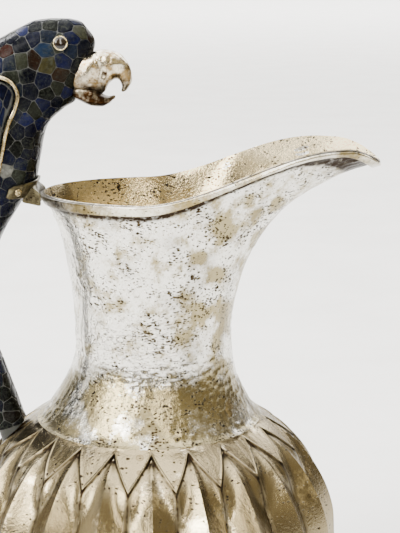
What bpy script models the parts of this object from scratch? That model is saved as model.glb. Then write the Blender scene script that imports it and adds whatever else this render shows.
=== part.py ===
"""Large hammered silver water pitcher with a stone-covered parrot for its handle.

Metres, +Z up, +X towards the spout, -X towards the parrot. The origin is the
centre of the foot's underside. The bird's left side faces +Y when it looks
towards the spout.
"""

import math

import bmesh
import bpy
import numpy as np
from mathutils import Vector

# ---------------------------------------------------------------- dimensions
GAP = 0.0003  # between neighbouring pieces
SHEET = 0.0010  # thickness of the raised sheet

BODY_RADIUS = 0.0905  # at the girth, over the envelope of the flutes
BODY_X = -0.0024  # the globe sits a little behind the line of the neck
FLOOR_Z = 0.0125  # the bowl's bottom above the table
BELLY_DROP = 0.0715  # girth to the bowl's bottom
GIRTH_Z = FLOOR_Z + BELLY_DROP
SHOULDER_RISE = 0.0750  # girth to the top of the spheroid, were it closed
BELLY_SQUARE = 2.4  # superellipse exponent below the girth
SEAM_RADIUS = 0.0540  # where the neck is soldered on

FLUTES = 21
FLUTE_PHASE = math.radians(-87.0)
FLUTE_PEAK_RADIUS = SEAM_RADIUS + 0.0023  # where the points of the flutes end
FLUTE_VALLEY_RADIUS = FLUTE_PEAK_RADIUS + 0.0152  # where the shoulder's triangles end
RIDGE_RISE = 0.0012
GROOVE_DEPTH = 0.0048

NECK_RADIUS = 0.0374
WAIST_RISE = 0.0960  # girth to the waist of the neck
NECK_Z = GIRTH_Z + WAIST_RISE
NECK_SWEEP = 1.9

RIM_BACK = 0.0515
RIM_FRONT = 0.1065
RIM_HALF_WIDTH = 0.0435
RIM_CENTRE_X = 0.0050
RIM_BLUNT = 0.25  # how round the tip of the spout is
RIM_PINCH = 0.20  # how far the sides are drawn in behind the tip
SPOUT_TALL = 0.0730  # waist to the back of the rim
RIM_Z = NECK_Z + SPOUT_TALL
RIM_RISE = 0.0220
RIM_DROOP = 0.0080

BAND_HEIGHT = 0.0046
BAND_THICK = 0.0016

FOOT_TOP_RADIUS = 0.0485
FOOT_FLARE = 0.0075  # how much wider it is at the table
FOOT_RADIUS = FOOT_TOP_RADIUS + FOOT_FLARE
FLUTE_END_RADIUS = FOOT_TOP_RADIUS + 0.0015  # flutes fade out just above the foot
FOOT_WALL = 0.0022

SKIN = 0.0018  # stone and cement over the bird's shell
SHELL = 0.0012

EYE_X = -0.0406
EYE_Z = 0.3223
EYE_RADIUS = 0.0036
EYE_WIRE = 0.0006

WING_RISE = 0.0020
WIRE_RADIUS = 0.0010

YOKE_CUT = 8.25  # the cut of the bird that the yoke is centred on
YOKE_TALL = 0.42  # half its height at the middle, in cuts
YOKE_REACH = 0.60  # how far back along the cut its arms go
YOKE_THICK = 0.0012
LUG_HALF = 0.0060
LUG_TOP = RIM_Z - 0.0005
LUG_FOOT = LUG_TOP - 0.0053
LUG_TOP_CUT = 8.4  # the cuts of the bird level with the lug's top and foot
LUG_FOOT_CUT = 8.8
RIVET_PLACE = (8.22, 0.76)  # cut, and place along it
RIVET_HEAD = 0.0018
RIVET_SHANK = 0.0010
RIVET_DEPTH = 0.0055

# The bird, as cuts from the breast side to the back side: x and z in front,
# x and z behind, half width in Y, squareness of the cut. It is drawn for a rim
# whose back is at DRAWN_RIM, and moves with the rim and with the shoulder.
DRAWN_RIM = (-0.0515, 0.2530)
TAIL_FRONT = 0.0058  # the tail's end, from this far outside the neck's seam
TAIL_BACK = 0.0178  # to this far
TAIL_LIFT = 0.0009  # and this far above the shoulder
CROWN = (-0.0415, 0.3333)
BIRD_CUTS = (
    (-0.0303, 0.3303, -0.0560, 0.3314, 0.0078, 2.1),
    (-0.0255, 0.3228, -0.0672, 0.3256, 0.0128, 2.1),
    (-0.0282, 0.3125, -0.0765, 0.3203, 0.0145, 2.1),
    (-0.0330, 0.3022, -0.0826, 0.3155, 0.0156, 2.2),
    (-0.0350, 0.2955, -0.0880, 0.3096, 0.0164, 2.3),
    (-0.0412, 0.2912, -0.0938, 0.3020, 0.0170, 2.5),
    (-0.0485, 0.2835, -0.0995, 0.2910, 0.0176, 2.7),
    (-0.0518, 0.2700, -0.1043, 0.2750, 0.0180, 2.9),
    (-0.0545, 0.2580, -0.1070, 0.2570, 0.0176, 3.0),
    (-0.0612, 0.2480, -0.1062, 0.2350, 0.0160, 3.0),
    (-0.0720, 0.2295, -0.1022, 0.2155, 0.0132, 3.1),
    (-0.0790, 0.2050, -0.0968, 0.1980, 0.0104, 3.2),
    (-0.0768, 0.1840, -0.0912, 0.1780, 0.0090, 3.4),
    (-0.0705, 0.1655, -0.0838, 0.1590, 0.0081, 3.6),
    (-0.0622, 0.1412, -0.0742, 0.1306, 0.0072, 3.6),
)
HEAD_END = 5.0  # cut where the head's mosaic meets the breast's
BREAST_END = 10.0  # cut where the breast's mosaic meets the tail's
WING_CENTRE = (6.9, -0.27)  # cut and place across it
WING_REACH = (3.1, 0.60)

BEAK_SQUARE = 3.4  # squareness of the mandibles' roots
BEAK_EASE = 0.18  # and how much less it is at each cut further out
# The beak, as cuts from the top line to the inner line: x, z, x, z, half width.
UPPER_BEAK = (
    (-0.0325, 0.3165, -0.0400, 0.3030, 0.0070),
    (-0.0245, 0.3184, -0.0338, 0.2998, 0.0090),
    (-0.0210, 0.3187, -0.0277, 0.2995, 0.0086),
    (-0.0178, 0.3180, -0.0223, 0.2991, 0.0078),
    (-0.0149, 0.3168, -0.0198, 0.3030, 0.0068),
    (-0.0124, 0.3149, -0.0172, 0.3052, 0.0058),
    (-0.0104, 0.3120, -0.0155, 0.3052, 0.0048),
    (-0.0091, 0.3080, -0.0144, 0.3040, 0.0038),
    (-0.0092, 0.3040, -0.0138, 0.3024, 0.0028),
    (-0.0112, 0.3008, -0.0138, 0.3010, 0.0016),
)
UPPER_TIP = (-0.0133, 0.2994)
LOWER_BEAK = (
    (-0.0372, 0.2990, -0.0372, 0.2976, 0.0050),
    (-0.0337, 0.2992, -0.0340, 0.2962, 0.0072),
    (-0.0295, 0.2990, -0.0297, 0.2940, 0.0078),
    (-0.0262, 0.2988, -0.0262, 0.2930, 0.0072),
    (-0.0226, 0.2983, -0.0226, 0.2930, 0.0060),
    (-0.0202, 0.2975, -0.0196, 0.2943, 0.0044),
    (-0.0184, 0.2976, -0.0178, 0.2959, 0.0022),
)
LOWER_TIP = (-0.0168, 0.2975)


# ---------------------------------------------------------------- materials
def make_material(name, colour, metallic, roughness):
    """Returns a Principled material of one colour."""
    material = bpy.data.materials.new(name)
    material.use_nodes = True
    shader = material.node_tree.nodes["Principled BSDF"]
    shader.inputs["Base Color"].default_value = (*colour, 1.0)
    shader.inputs["Metallic"].default_value = metallic
    shader.inputs["Roughness"].default_value = roughness
    return material


# ---------------------------------------------------------------- mesh tools
def grid_object(name, points, material, loop=True, first=None, last=None):
    """Makes a mesh object from rows of points.

    points is a rows x columns x 3 array. loop joins the last column to the
    first. first and last are single points that close the ends with fans.
    """
    rows, columns = points.shape[:2]
    mesh = bmesh.new()
    verts = [[mesh.verts.new(p) for p in row] for row in points]
    across = columns if loop else columns - 1
    for i in range(rows - 1):
        for j in range(across):
            k = (j + 1) % columns
            mesh.faces.new((verts[i][j], verts[i][k], verts[i + 1][k], verts[i + 1][j]))
    for pole, row in ((first, verts[0]), (last, verts[-1])):
        if pole is None:
            continue
        tip = mesh.verts.new(pole)
        for j in range(across):
            mesh.faces.new((tip, row[j], row[(j + 1) % columns]))
    bmesh.ops.recalc_face_normals(mesh, faces=mesh.faces)
    data = bpy.data.meshes.new(name)
    mesh.to_mesh(data)
    mesh.free()
    item = bpy.data.objects.new(name, data)
    bpy.context.collection.objects.link(item)
    item.data.materials.append(material)
    return item


def weld(item):
    """Joins the points that meet and turns the faces outwards."""
    mesh = bmesh.new()
    mesh.from_mesh(item.data)
    bmesh.ops.remove_doubles(mesh, verts=mesh.verts, dist=1e-6)
    bmesh.ops.recalc_face_normals(mesh, faces=mesh.faces)
    mesh.to_mesh(item.data)
    mesh.free()
    return item


def close_ends(item):
    """Fills every open loop of a mesh and turns its faces outwards."""
    mesh = bmesh.new()
    mesh.from_mesh(item.data)
    edges = [e for e in mesh.edges if len(e.link_faces) == 1]
    bmesh.ops.holes_fill(mesh, edges=edges, sides=0)
    bmesh.ops.recalc_face_normals(mesh, faces=mesh.faces)
    mesh.to_mesh(item.data)
    mesh.free()
    return item


def face_out(item, centre):
    """Flips an open sheet whose faces look towards centre rather than away."""
    mesh = bmesh.new()
    mesh.from_mesh(item.data)
    total = 0.0
    for face in mesh.faces:
        offset = face.calc_center_median() - centre_of(face, centre)
        total += face.normal.dot(offset) * face.calc_area()
    if total < 0:
        bmesh.ops.reverse_faces(mesh, faces=mesh.faces)
    mesh.to_mesh(item.data)
    mesh.free()
    return item


def centre_of(face, centre):
    """The point the face should look away from."""
    if centre == "axis":
        return Vector((0.0, 0.0, face.calc_center_median().z))
    return Vector(centre)


def thicken(item, thickness):
    """Gives a sheet its thickness on the inner side."""
    solid = item.modifiers.new("Thickness", "SOLIDIFY")
    solid.thickness = thickness
    solid.offset = -1.0
    solid.use_even_offset = True
    solid.use_quality_normals = True
    solid.use_rim = True
    return item


def smooth(item, degrees):
    """Shades an object smooth, with edges above the angle left sharp."""
    mesh = item.data
    mesh.polygons.foreach_set("use_smooth", [True] * len(mesh.polygons))
    mesh.set_sharp_from_angle(angle=math.radians(degrees))
    mesh.update()
    return item


def screw_object(name, profile, material, steps):
    """Turns a profile of (radius, height) points about Z."""
    mesh = bmesh.new()
    verts = [mesh.verts.new((r, 0.0, z)) for r, z in profile]
    for a, b in zip(verts, verts[1:] + verts[:1]):
        mesh.edges.new((a, b))
    data = bpy.data.meshes.new(name)
    mesh.to_mesh(data)
    mesh.free()
    item = bpy.data.objects.new(name, data)
    bpy.context.collection.objects.link(item)
    item.data.materials.append(material)
    screw = item.modifiers.new("Turn", "SCREW")
    screw.axis = "Z"
    screw.angle = math.tau
    screw.steps = steps
    screw.render_steps = steps
    screw.use_merge_vertices = True
    screw.merge_threshold = 0.00002
    screw.use_smooth_shade = True
    return item


# ---------------------------------------------------------------- the bowl
def shoulder_angle(radius):
    """The rise angle above the girth where the spheroid has this radius."""
    return math.acos(radius / BODY_RADIUS)


def shoulder_height(radius):
    """Height of the shoulder where the spheroid has this radius."""
    return GIRTH_Z + SHOULDER_RISE * math.sin(shoulder_angle(radius))


def flute_position(angle):
    """Place across a flute: 0 on its ridge, 1 in the groove either side."""
    turn = (angle - FLUTE_PHASE) * FLUTES / math.tau
    return 2.0 * np.abs(turn - np.round(turn))


def bowl_upper(angle, f, inset=0.0):
    """Points from the girth (f=0) to the zigzag border (f=1) and the seam (f=2)."""
    u = flute_position(angle)
    border = shoulder_angle(FLUTE_PEAK_RADIUS) * (1 - u)
    border = border + shoulder_angle(FLUTE_VALLEY_RADIUS) * u
    seam = shoulder_angle(SEAM_RADIUS)
    b = np.where(f <= 1.0, f * border, border + (f - 1.0) * (seam - border))
    left = np.clip(1.0 - f, 0.0, 1.0)
    ridge = RIDGE_RISE * (1 - u) * np.clip(left / 0.25, 0, 1)
    groove = GROOVE_DEPTH * u * np.clip(left / 0.40, 0, 1)
    push = ridge - groove - inset
    radius = (BODY_RADIUS + push) * np.cos(b)
    z = GIRTH_Z + (SHOULDER_RISE + push) * np.sin(b)
    return np.stack([BODY_X + radius * np.cos(angle), radius * np.sin(angle), z], -1)


def bowl_lower(angle, a, inset=0.0):
    """Points below the girth: a is a quarter turn at the girth and 0 at the pole."""
    u = flute_position(angle)
    radius = BODY_RADIUS * np.sin(a) ** (2.0 / BELLY_SQUARE)
    z = GIRTH_Z - BELLY_DROP * np.cos(a) ** (2.0 / BELLY_SQUARE)
    span = BODY_RADIUS - FLUTE_END_RADIUS
    fade = np.clip((radius - FLUTE_END_RADIUS) / span, 0, 1) ** 0.7
    push = (RIDGE_RISE * (1 - u) - GROOVE_DEPTH * u) * fade - inset
    radius = radius + push * np.sin(a)
    z = z - push * np.cos(a)
    return np.stack([BODY_X + radius * np.cos(angle), radius * np.sin(angle), z], -1)


def make_bowl(material):
    """The fluted globe, closed below and open at the neck seam.

    Its loops climb the outside from the bottom to the seam, then come back
    down the inside, one sheet's thickness in.
    """
    angle = FLUTE_PHASE + np.arange(4 * FLUTES) * math.tau / (4 * FLUTES)
    sides = []
    for inset in (0.0, SHEET):
        rows = []
        for degrees in (16.0, 27.0, 33.0, 40.0, 50.0, 62.0, 76.0):
            rows.append(bowl_lower(angle, np.full_like(angle, math.radians(degrees)), inset))
        for f in (0.0, 0.2, 0.4, 0.6, 0.75, 0.88, 1.0, 2.0):
            rows.append(bowl_upper(angle, np.full_like(angle, f), inset))
        sides.append(rows)
    outside, inside = sides
    under = (BODY_X, 0.0, GIRTH_Z - BELLY_DROP)
    floor = (BODY_X, 0.0, GIRTH_Z - BELLY_DROP + SHEET)
    rows = np.array(outside + inside[::-1])
    return smooth(grid_object("bowl", rows, material, first=under, last=floor), 25)


# ---------------------------------------------------------------- neck and spout
def rim_point(angle):
    """The upper edge of the rim at a plan angle: an egg with a drawn-out spout."""
    c = np.cos(angle)
    s = np.sin(angle)
    front = RIM_FRONT - RIM_CENTRE_X
    back = RIM_BACK + RIM_CENTRE_X
    blunt = c + RIM_BLUNT * c * (1 - c * c)
    x = RIM_CENTRE_X + np.where(c > 0, front * blunt, back * c)
    pinch = 1 - RIM_PINCH * np.exp(-(((c - 0.78) / 0.28) ** 2))
    y = RIM_HALF_WIDTH * s * pinch
    q = np.clip((x + 0.005) / 0.088, 0, 1)
    rise = RIM_RISE * q * q * (3 - 2 * q)
    droop = RIM_DROOP * np.clip((x - 0.088) / (RIM_FRONT - 0.088), 0, 1) ** 2
    return np.stack([x, y, RIM_Z + rise - droop], -1)


def neck_surface(angle, v):
    """Outside of the neck: v runs -1 at the seam, 0 at the waist, 1 at the rim."""
    angle, v = np.broadcast_arrays(angle, v)
    round_ = np.stack([np.cos(angle), np.sin(angle), np.zeros_like(angle)], -1)
    low = np.clip(-v, 0, 1)
    foot = shoulder_height(SEAM_RADIUS) + GAP
    radius = NECK_RADIUS + (SEAM_RADIUS - NECK_RADIUS) * low**NECK_SWEEP
    lower = round_ * radius[..., None]
    lower[..., 0] += BODY_X * low**1.5
    lower[..., 2] = NECK_Z - (NECK_Z - foot) * low
    t = np.clip(v, 0, 1)[..., None]
    forward = np.clip(np.cos(angle), 0, 1) ** 2
    p0 = round_ * NECK_RADIUS
    p0[..., 2] = NECK_Z
    p1 = p0.copy()
    p1[..., 2] += 0.035 + 0.013 * forward
    p3 = rim_point(angle)
    p2 = p3 + 0.66 * (p0 - p3)
    p2[..., 2] = p3[..., 2] - 0.0175 + 0.0065 * forward
    s = 1 - t
    upper = s**3 * p0 + 3 * s * s * t * p1 + 3 * s * t * t * p2 + t**3 * p3
    return np.where((v > 0)[..., None], upper, lower)


def neck_normal(angle, v):
    """Outward normal of the neck, from small steps each way."""
    e = 1e-4
    du = neck_surface(angle + e, v) - neck_surface(angle - e, v)
    dv = neck_surface(angle, np.minimum(v + e, 1)) - neck_surface(angle, v - e)
    n = np.cross(du, dv)
    return n / np.linalg.norm(n, axis=-1, keepdims=True)


def make_neck(material):
    """The hammered neck and spout, one raised sheet."""
    angle = np.arange(64) * math.tau / 64
    levels = (-1, -0.8, -0.6, -0.4, -0.2, 0, 0.2, 0.4, 0.56, 0.7, 0.82, 0.92, 1)
    rows = [neck_surface(angle, np.full_like(angle, v)) for v in levels]
    neck = grid_object("neck_spout", np.array(rows), material)
    face_out(neck, "axis")
    return smooth(thicken(neck, SHEET), 40)


def make_band(material):
    """The flat strip soldered round the outside of the rim."""
    angle = np.arange(96) * math.tau / 96
    top = 1.0
    edge = neck_surface(angle, np.full_like(angle, top))
    below = neck_surface(angle, np.full_like(angle, 0.9))
    run = np.linalg.norm(edge - below, axis=-1)
    low = 1.0 - 0.1 * BAND_HEIGHT / run
    inner_top = edge
    inner_low = neck_surface(angle, low)
    out_top = neck_normal(angle, np.full_like(angle, 0.9999))
    out_low = neck_normal(angle, low)
    rows = [
        inner_low + out_low * GAP,
        inner_low + out_low * (GAP + BAND_THICK),
        inner_top + out_top * (GAP + BAND_THICK),
        inner_top + out_top * GAP,
    ]
    ring = grid_object("rim_band", np.array(rows + rows[:1]), material)
    return smooth(weld(ring), 40)


def make_foot(material):
    """The spreading foot ring, a turned band rolled out at the floor."""
    a = math.asin((FOOT_TOP_RADIUS / BODY_RADIUS) ** (BELLY_SQUARE / 2.0))
    top = GIRTH_Z - BELLY_DROP * math.cos(a) ** (2.0 / BELLY_SQUARE) - 2 * GAP
    t = FOOT_WALL
    profile = (
        (FOOT_TOP_RADIUS - t, top - 0.0006),
        (FOOT_TOP_RADIUS, top - 0.0002),
        (FOOT_TOP_RADIUS + 0.0006, top - 0.004),
        (FOOT_TOP_RADIUS + 0.0026, top - 0.009),
        (FOOT_RADIUS - 0.0008, 0.0046),
        (FOOT_RADIUS, 0.0034),
        (FOOT_RADIUS, 0.0010),
        (FOOT_RADIUS - 0.0010, 0.0),
        (FOOT_RADIUS - 0.0050, 0.0),
        (FOOT_RADIUS - 0.0056, 0.0030),
        (FOOT_TOP_RADIUS - t + 0.0020, top - 0.009),
        (FOOT_TOP_RADIUS - t, top - 0.004),
    )
    ring = screw_object("foot_ring", profile, material, 48)
    ring.location.x = BODY_X
    return ring


# ---------------------------------------------------------------- the bird
def rim_shift():
    """How far the back of the rim is from where the bird was drawn."""
    return np.array([-RIM_BACK - DRAWN_RIM[0], RIM_Z - DRAWN_RIM[1]])


def fitted_cuts():
    """The bird's cuts, moved with the rim and, down the tail, with the shoulder."""
    cuts = np.array(BIRD_CUTS)
    for k, reach in ((0, TAIL_FRONT), (2, TAIL_BACK)):
        radius = SEAM_RADIUS + reach
        end = np.array([BODY_X - radius, shoulder_height(radius) + TAIL_LIFT])
        height = cuts[:, k + 1]
        share = (DRAWN_RIM[1] - height) / (DRAWN_RIM[1] - height[-1])
        share = np.clip(share, 0, 1)[:, None]
        cuts[:, k : k + 2] += rim_shift() * (1 - share) + (end - cuts[-1, k : k + 2]) * share
    return cuts


def beak_cuts(cuts, tip):
    """A mandible's cuts and tip, moved with the rim."""
    dx, dz = rim_shift()
    moved = [(ax + dx, az + dz, bx + dx, bz + dz, half) for ax, az, bx, bz, half in cuts]
    return moved, (tip[0] + dx, 0.0, tip[1] + dz)


def bird_cut(s):
    """Front point, back point, half width and squareness at place s."""
    table = fitted_cuts()
    keys = np.arange(len(table), dtype=float)
    s = np.asarray(s, float)
    i = np.clip(np.floor(s).astype(int), 0, len(table) - 2)
    t = (s - i)[..., None]
    before = table[np.clip(i - 1, 0, len(table) - 1)]
    here = table[i]
    after = table[i + 1]
    beyond = table[np.clip(i + 2, 0, len(table) - 1)]
    slope_a = (after - before) / (keys[i + 1] - keys[np.clip(i - 1, 0, None)])[..., None]
    last = np.clip(i + 2, 0, len(table) - 1)
    slope_b = (beyond - here) / (keys[last] - keys[i])[..., None]
    h = t * t * (3 - 2 * t)
    value = here * (1 - h) + after * h
    return value + slope_a * t * (1 - t) ** 2 - slope_b * t * t * (1 - t)


def bird_ring(s, c, side, inset=0.0):
    """A point of the bird's surface: c runs 1 at the breast to -1 at the back."""
    cut = bird_cut(s)
    fx, fz, bx, bz, half, square = (cut[..., k] for k in range(6))
    cx = (fx + bx) / 2
    cz = (fz + bz) / 2
    reach = np.hypot(fx - bx, fz - bz) / 2
    dx = (fx - bx) / 2 / reach
    dz = (fz - bz) / 2 / reach
    y = (half - inset) * (1 - np.abs(c) ** square) ** (1 / square)
    along = (reach - inset) * c
    return np.stack([cx + dx * along, side * y, cz + dz * along], -1)


def ring_points(s, count, inset=0.0):
    """One full cut of the bird as a loop of points."""
    turn = np.arange(count) * math.tau / count
    square = bird_cut(np.array([s]))[0, 5]
    c = np.sign(np.cos(turn)) * np.abs(np.cos(turn)) ** (2 / square)
    side = np.sign(np.sin(turn))
    return bird_ring(np.full(count, s), c, side, inset)


def bird_middle(s):
    """The middle of the bird at a cut."""
    cut = bird_cut(np.array([s]))[0]
    return ((cut[0] + cut[2]) / 2, 0.0, (cut[1] + cut[3]) / 2)


def bird_piece(name, material, places, count, outer, inner, crown=False):
    """A shell over part of the bird, between two insets from its surface.

    The outer loops run down through the places and the inner ones come back
    up. A crown closes the top with a point on each side.
    """
    rows = [ring_points(s, count, outer) for s in places]
    rows += [ring_points(s, count, inner) for s in reversed(places)]
    if crown:
        dx, dz = rim_shift()
        top = (CROWN[0] + dx, 0.0, CROWN[1] + dz - 1.15 * outer)
        under = (CROWN[0] + dx, 0.0, CROWN[1] + dz - 1.15 * inner)
        return smooth(grid_object(name, np.array(rows), material, first=top, last=under), 50)
    item = grid_object(name, np.array(rows + rows[:1]), material)
    return smooth(weld(item), 50)


def bird_normal(s, c, side):
    """Outward normal of the bird's side, from small steps each way."""
    e = 1e-3
    ds = bird_ring(s + e, c, side) - bird_ring(s - e, c, side)
    dc = bird_ring(s, c + e, side) - bird_ring(s, c - e, side)
    n = np.cross(ds, dc)
    n = n / np.linalg.norm(n, axis=-1, keepdims=True)
    return n * (np.sign(n[..., 1:2]) * side)


def wing_outline(turn):
    """Places (s, c) of the wing's edge, an oval in cuts and places across them."""
    s = WING_CENTRE[0] - WING_REACH[0] * np.cos(turn)
    return s, WING_CENTRE[1] + WING_REACH[1] * np.sin(turn)


def make_wing(name, side, material):
    """The raised wing panel on one side of the bird."""
    turn = np.arange(28) * math.tau / 28
    edge_s, edge_c = wing_outline(turn)
    rows = []
    for share, drop in ((0.35, 0.0), (0.7, 0.0), (1.0, 0.0006)):
        s = WING_CENTRE[0] + (edge_s - WING_CENTRE[0]) * share
        c = WING_CENTRE[1] + (edge_c - WING_CENTRE[1]) * share
        n = bird_normal(s, c, side)
        rows.append(bird_ring(s, c, side) + n * (2 * GAP + WING_RISE - drop))
    s = np.array([WING_CENTRE[0]])
    c = np.array([WING_CENTRE[1]])
    pole = bird_ring(s, c, side) + bird_normal(s, c, side) * (2 * GAP + WING_RISE)
    item = grid_object(name, np.array(rows), material, first=tuple(pole[0]))
    face_out(item, bird_middle(WING_CENTRE[0]))
    return smooth(thicken(item, WING_RISE - 0.0008), 50)


def make_wire(name, points, radius, material):
    """A round wire bent along a closed path."""
    curve = bpy.data.curves.new(name, "CURVE")
    curve.dimensions = "3D"
    spline = curve.splines.new("POLY")
    spline.points.add(len(points) - 1)
    for knot, p in zip(spline.points, points):
        knot.co = (*p, 1.0)
    spline.use_cyclic_u = True
    curve.bevel_depth = radius
    curve.bevel_resolution = 1
    item = bpy.data.objects.new(name, curve)
    bpy.context.collection.objects.link(item)
    item.data.materials.append(material)
    return item


def make_wing_wire(name, side, material):
    """The silver wire bent round the wing panel."""
    turn = np.arange(44) * math.tau / 44
    s, c = wing_outline(turn)
    step = 1e-3
    s2, c2 = wing_outline(turn + step)
    here = bird_ring(s, c, side)
    ahead = bird_ring(s2, c2, side)
    along = ahead - here
    along = along / np.linalg.norm(along, axis=-1, keepdims=True)
    n = bird_normal(s, c, side)
    out = np.cross(along, n)
    middle = bird_ring(np.array([WING_CENTRE[0]]), np.array([WING_CENTRE[1]]), side)
    flip = np.sign(np.sum(out * (here - middle), axis=-1, keepdims=True))
    out = out * flip
    points = here + out * (WIRE_RADIUS + GAP + 0.0002) + n * (WIRE_RADIUS + 2 * GAP)
    return make_wire(name, points, WIRE_RADIUS, material)


def loft_rows(cuts, count, swell=0.0):
    """Loops through a list of cuts given by two edge points and a half width.

    The loops are squared ovals, squarer at the root than at the tip.
    """
    rows = []
    for number, (ax, az, bx, bz, half) in enumerate(cuts):
        centre = np.array([(ax + bx) / 2, 0.0, (az + bz) / 2])
        reach = math.hypot(ax - bx, az - bz) / 2
        up = np.array([(ax - bx) / 2 / reach, 0.0, (az - bz) / 2 / reach])
        turn = np.arange(count) * math.tau / count
        power = 2.0 / max(BEAK_SQUARE - BEAK_EASE * number, 2.0)
        c = np.sign(np.cos(turn)) * np.abs(np.cos(turn)) ** power
        d = np.sign(np.sin(turn)) * np.abs(np.sin(turn)) ** power
        c = c[:, None] * (reach + swell) * up
        d = d[:, None] * (half + swell) * np.array([0.0, 1.0, 0.0])
        rows.append(centre + c + d)
    return np.array(rows)


def make_beak(name, cuts, tip, material):
    """A solid mandible closed at its root and pointed at its tip."""
    cuts, tip = beak_cuts(cuts, tip)
    item = grid_object(name, loft_rows(cuts, 16), material, last=tip)
    return smooth(close_ends(item), 50)


def make_root_cutter(name, cuts):
    """The clearance cut for a mandible's root."""
    cuts, _ = beak_cuts(cuts[:5], (0.0, 0.0))
    rows = loft_rows(cuts, 16, GAP * 1.5)
    start = rows[0] - rows[1]
    rows[0] = rows[0] + 0.15 * start
    item = grid_object(name, rows, bpy.data.materials.new(name))
    close_ends(item)
    item.hide_render = True
    item.display_type = "WIRE"
    return item


def cut_away(item, cutter, operation="DIFFERENCE"):
    """Takes a cutter's shape out of a piece, or adds it for a union."""
    boolean = item.modifiers.new("Cut", "BOOLEAN")
    boolean.operation = operation
    boolean.solver = "EXACT"
    boolean.object = cutter
    return item


def eye_place(side):
    """Centre of the eye on the head's side, and the way it looks out."""
    s = 1.0
    dx, dz = rim_shift()
    for _ in range(12):
        cut = bird_cut(np.array([s]))[0]
        cz = (cut[1] + cut[3]) / 2
        cx = (cut[0] + cut[2]) / 2
        reach = math.hypot(cut[0] - cut[2], cut[1] - cut[3]) / 2
        tilt = (cut[1] - cut[3]) / 2 / reach
        z_here = cz + (EYE_X + dx - cx) * tilt
        s += (z_here - EYE_Z - dz) / 0.0085
    c = (EYE_X + dx - cx) / reach
    at = bird_ring(np.array([s]), np.array([c]), side)[0]
    n = bird_normal(np.array([s]), np.array([c]), side)[0]
    return at, n


def make_eye(tag, side, silver, stone):
    """The eye's silver ring and its domed stone."""
    at, n = eye_place(side)
    turn = Vector((0, 0, 1)).rotation_difference(Vector(n)).to_matrix()
    lift = GAP + EYE_WIRE
    ring = []
    for a in np.arange(24) * math.tau / 24:
        flat = Vector((math.cos(a), math.sin(a), 0.0)) * (EYE_RADIUS - EYE_WIRE)
        ring.append(Vector(at) + turn @ flat + Vector(n) * lift)
    make_wire("eye_ring_" + tag, ring, EYE_WIRE, silver)
    radius = EYE_RADIUS - 2 * EYE_WIRE - GAP
    rows = []
    for share, height in ((1.0, 0.0), (0.98, 0.0005), (0.8, 0.0010), (0.45, 0.0014)):
        loop = []
        for a in np.arange(20) * math.tau / 20:
            flat = Vector((math.cos(a), math.sin(a), 0.0)) * radius * share
            loop.append(Vector(at) + turn @ flat + Vector(n) * (GAP + height))
        rows.append([tuple(p) for p in loop])
    top = Vector(at) + Vector(n) * (GAP + 0.0015)
    item = grid_object("eye_stone_" + tag, np.array(rows), stone, last=tuple(top))
    smooth(close_ends(item), 50)


# ---------------------------------------------------------------- yoke and rivets
def make_yoke(material):
    """The flat silver strap bent round the bird's breast, behind the rim band."""
    arm = math.acos(YOKE_REACH)
    rows = []
    for share in np.linspace(-1.0, 1.0, 21):
        turn = arm * share
        tall = YOKE_TALL * (1.0 - 0.45 * abs(share) ** 1.5)
        s = YOKE_CUT + tall * np.linspace(-1.0, 1.0, 5)
        c = np.full_like(s, math.cos(turn))
        c = np.minimum(c, 1.0 - 1e-6)
        side = 1.0 if share >= 0 else -1.0
        n = bird_normal(s, np.minimum(c, 0.995), side)
        if abs(share) < 1e-9:
            n = n * np.array([1.0, 0.0, 1.0])
            n = n / np.linalg.norm(n, axis=-1, keepdims=True)
        rows.append(bird_ring(s, c, side) + n * (GAP + YOKE_THICK))
    item = grid_object("handle_yoke", np.array(rows), material, loop=False)
    face_out(item, bird_middle(YOKE_CUT))
    return smooth(thicken(item, YOKE_THICK), 40)


def make_lug(material):
    """The block that joins the rim band's back to the middle of the yoke."""
    angle = math.pi + np.linspace(-0.5, 0.5, 41)
    rim = rim_point(angle)
    band_x = rim[:, 0] - 2 * GAP - BAND_THICK
    c = np.cos(np.linspace(0.0, 1.0, 41) * 1.2)
    rows = []
    for y in np.linspace(-LUG_HALF, LUG_HALF, 9):
        x_band = np.interp(y, rim[::-1, 1], band_x[::-1])
        corners = []
        for z, s in ((LUG_TOP, LUG_TOP_CUT), (LUG_FOOT, LUG_FOOT_CUT)):
            breast = bird_ring(np.full(41, s), c, 1.0)
            x_yoke = np.interp(abs(y), breast[:, 1], breast[:, 0])
            corners.append((x_yoke + 2 * GAP + YOKE_THICK + 0.0006, y, z))
        a, b = corners
        rows.append([(x_band, y, a[2]), a, b, (x_band, y, b[2])])
    item = grid_object("rim_lug", np.array(rows), material)
    return smooth(close_ends(item), 40)


def rivet_frame(side):
    """Foot and direction of a rivet: square to the bird's side."""
    s = np.array([RIVET_PLACE[0]])
    c = np.array([RIVET_PLACE[1]])
    return bird_ring(s, c, side)[0], bird_normal(s, c, side)[0]


def turned_rows(profile, at, n, count):
    """Loops of a turned shape: profile is (radius, height) along n from at."""
    a = np.cross(n, [0.0, 0.0, 1.0])
    a = a / np.linalg.norm(a)
    b = np.cross(n, a)
    turn = np.arange(count)[:, None] * math.tau / count
    circle = np.cos(turn) * a + np.sin(turn) * b
    return np.array([at + n * h + circle * r for r, h in profile])


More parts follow.
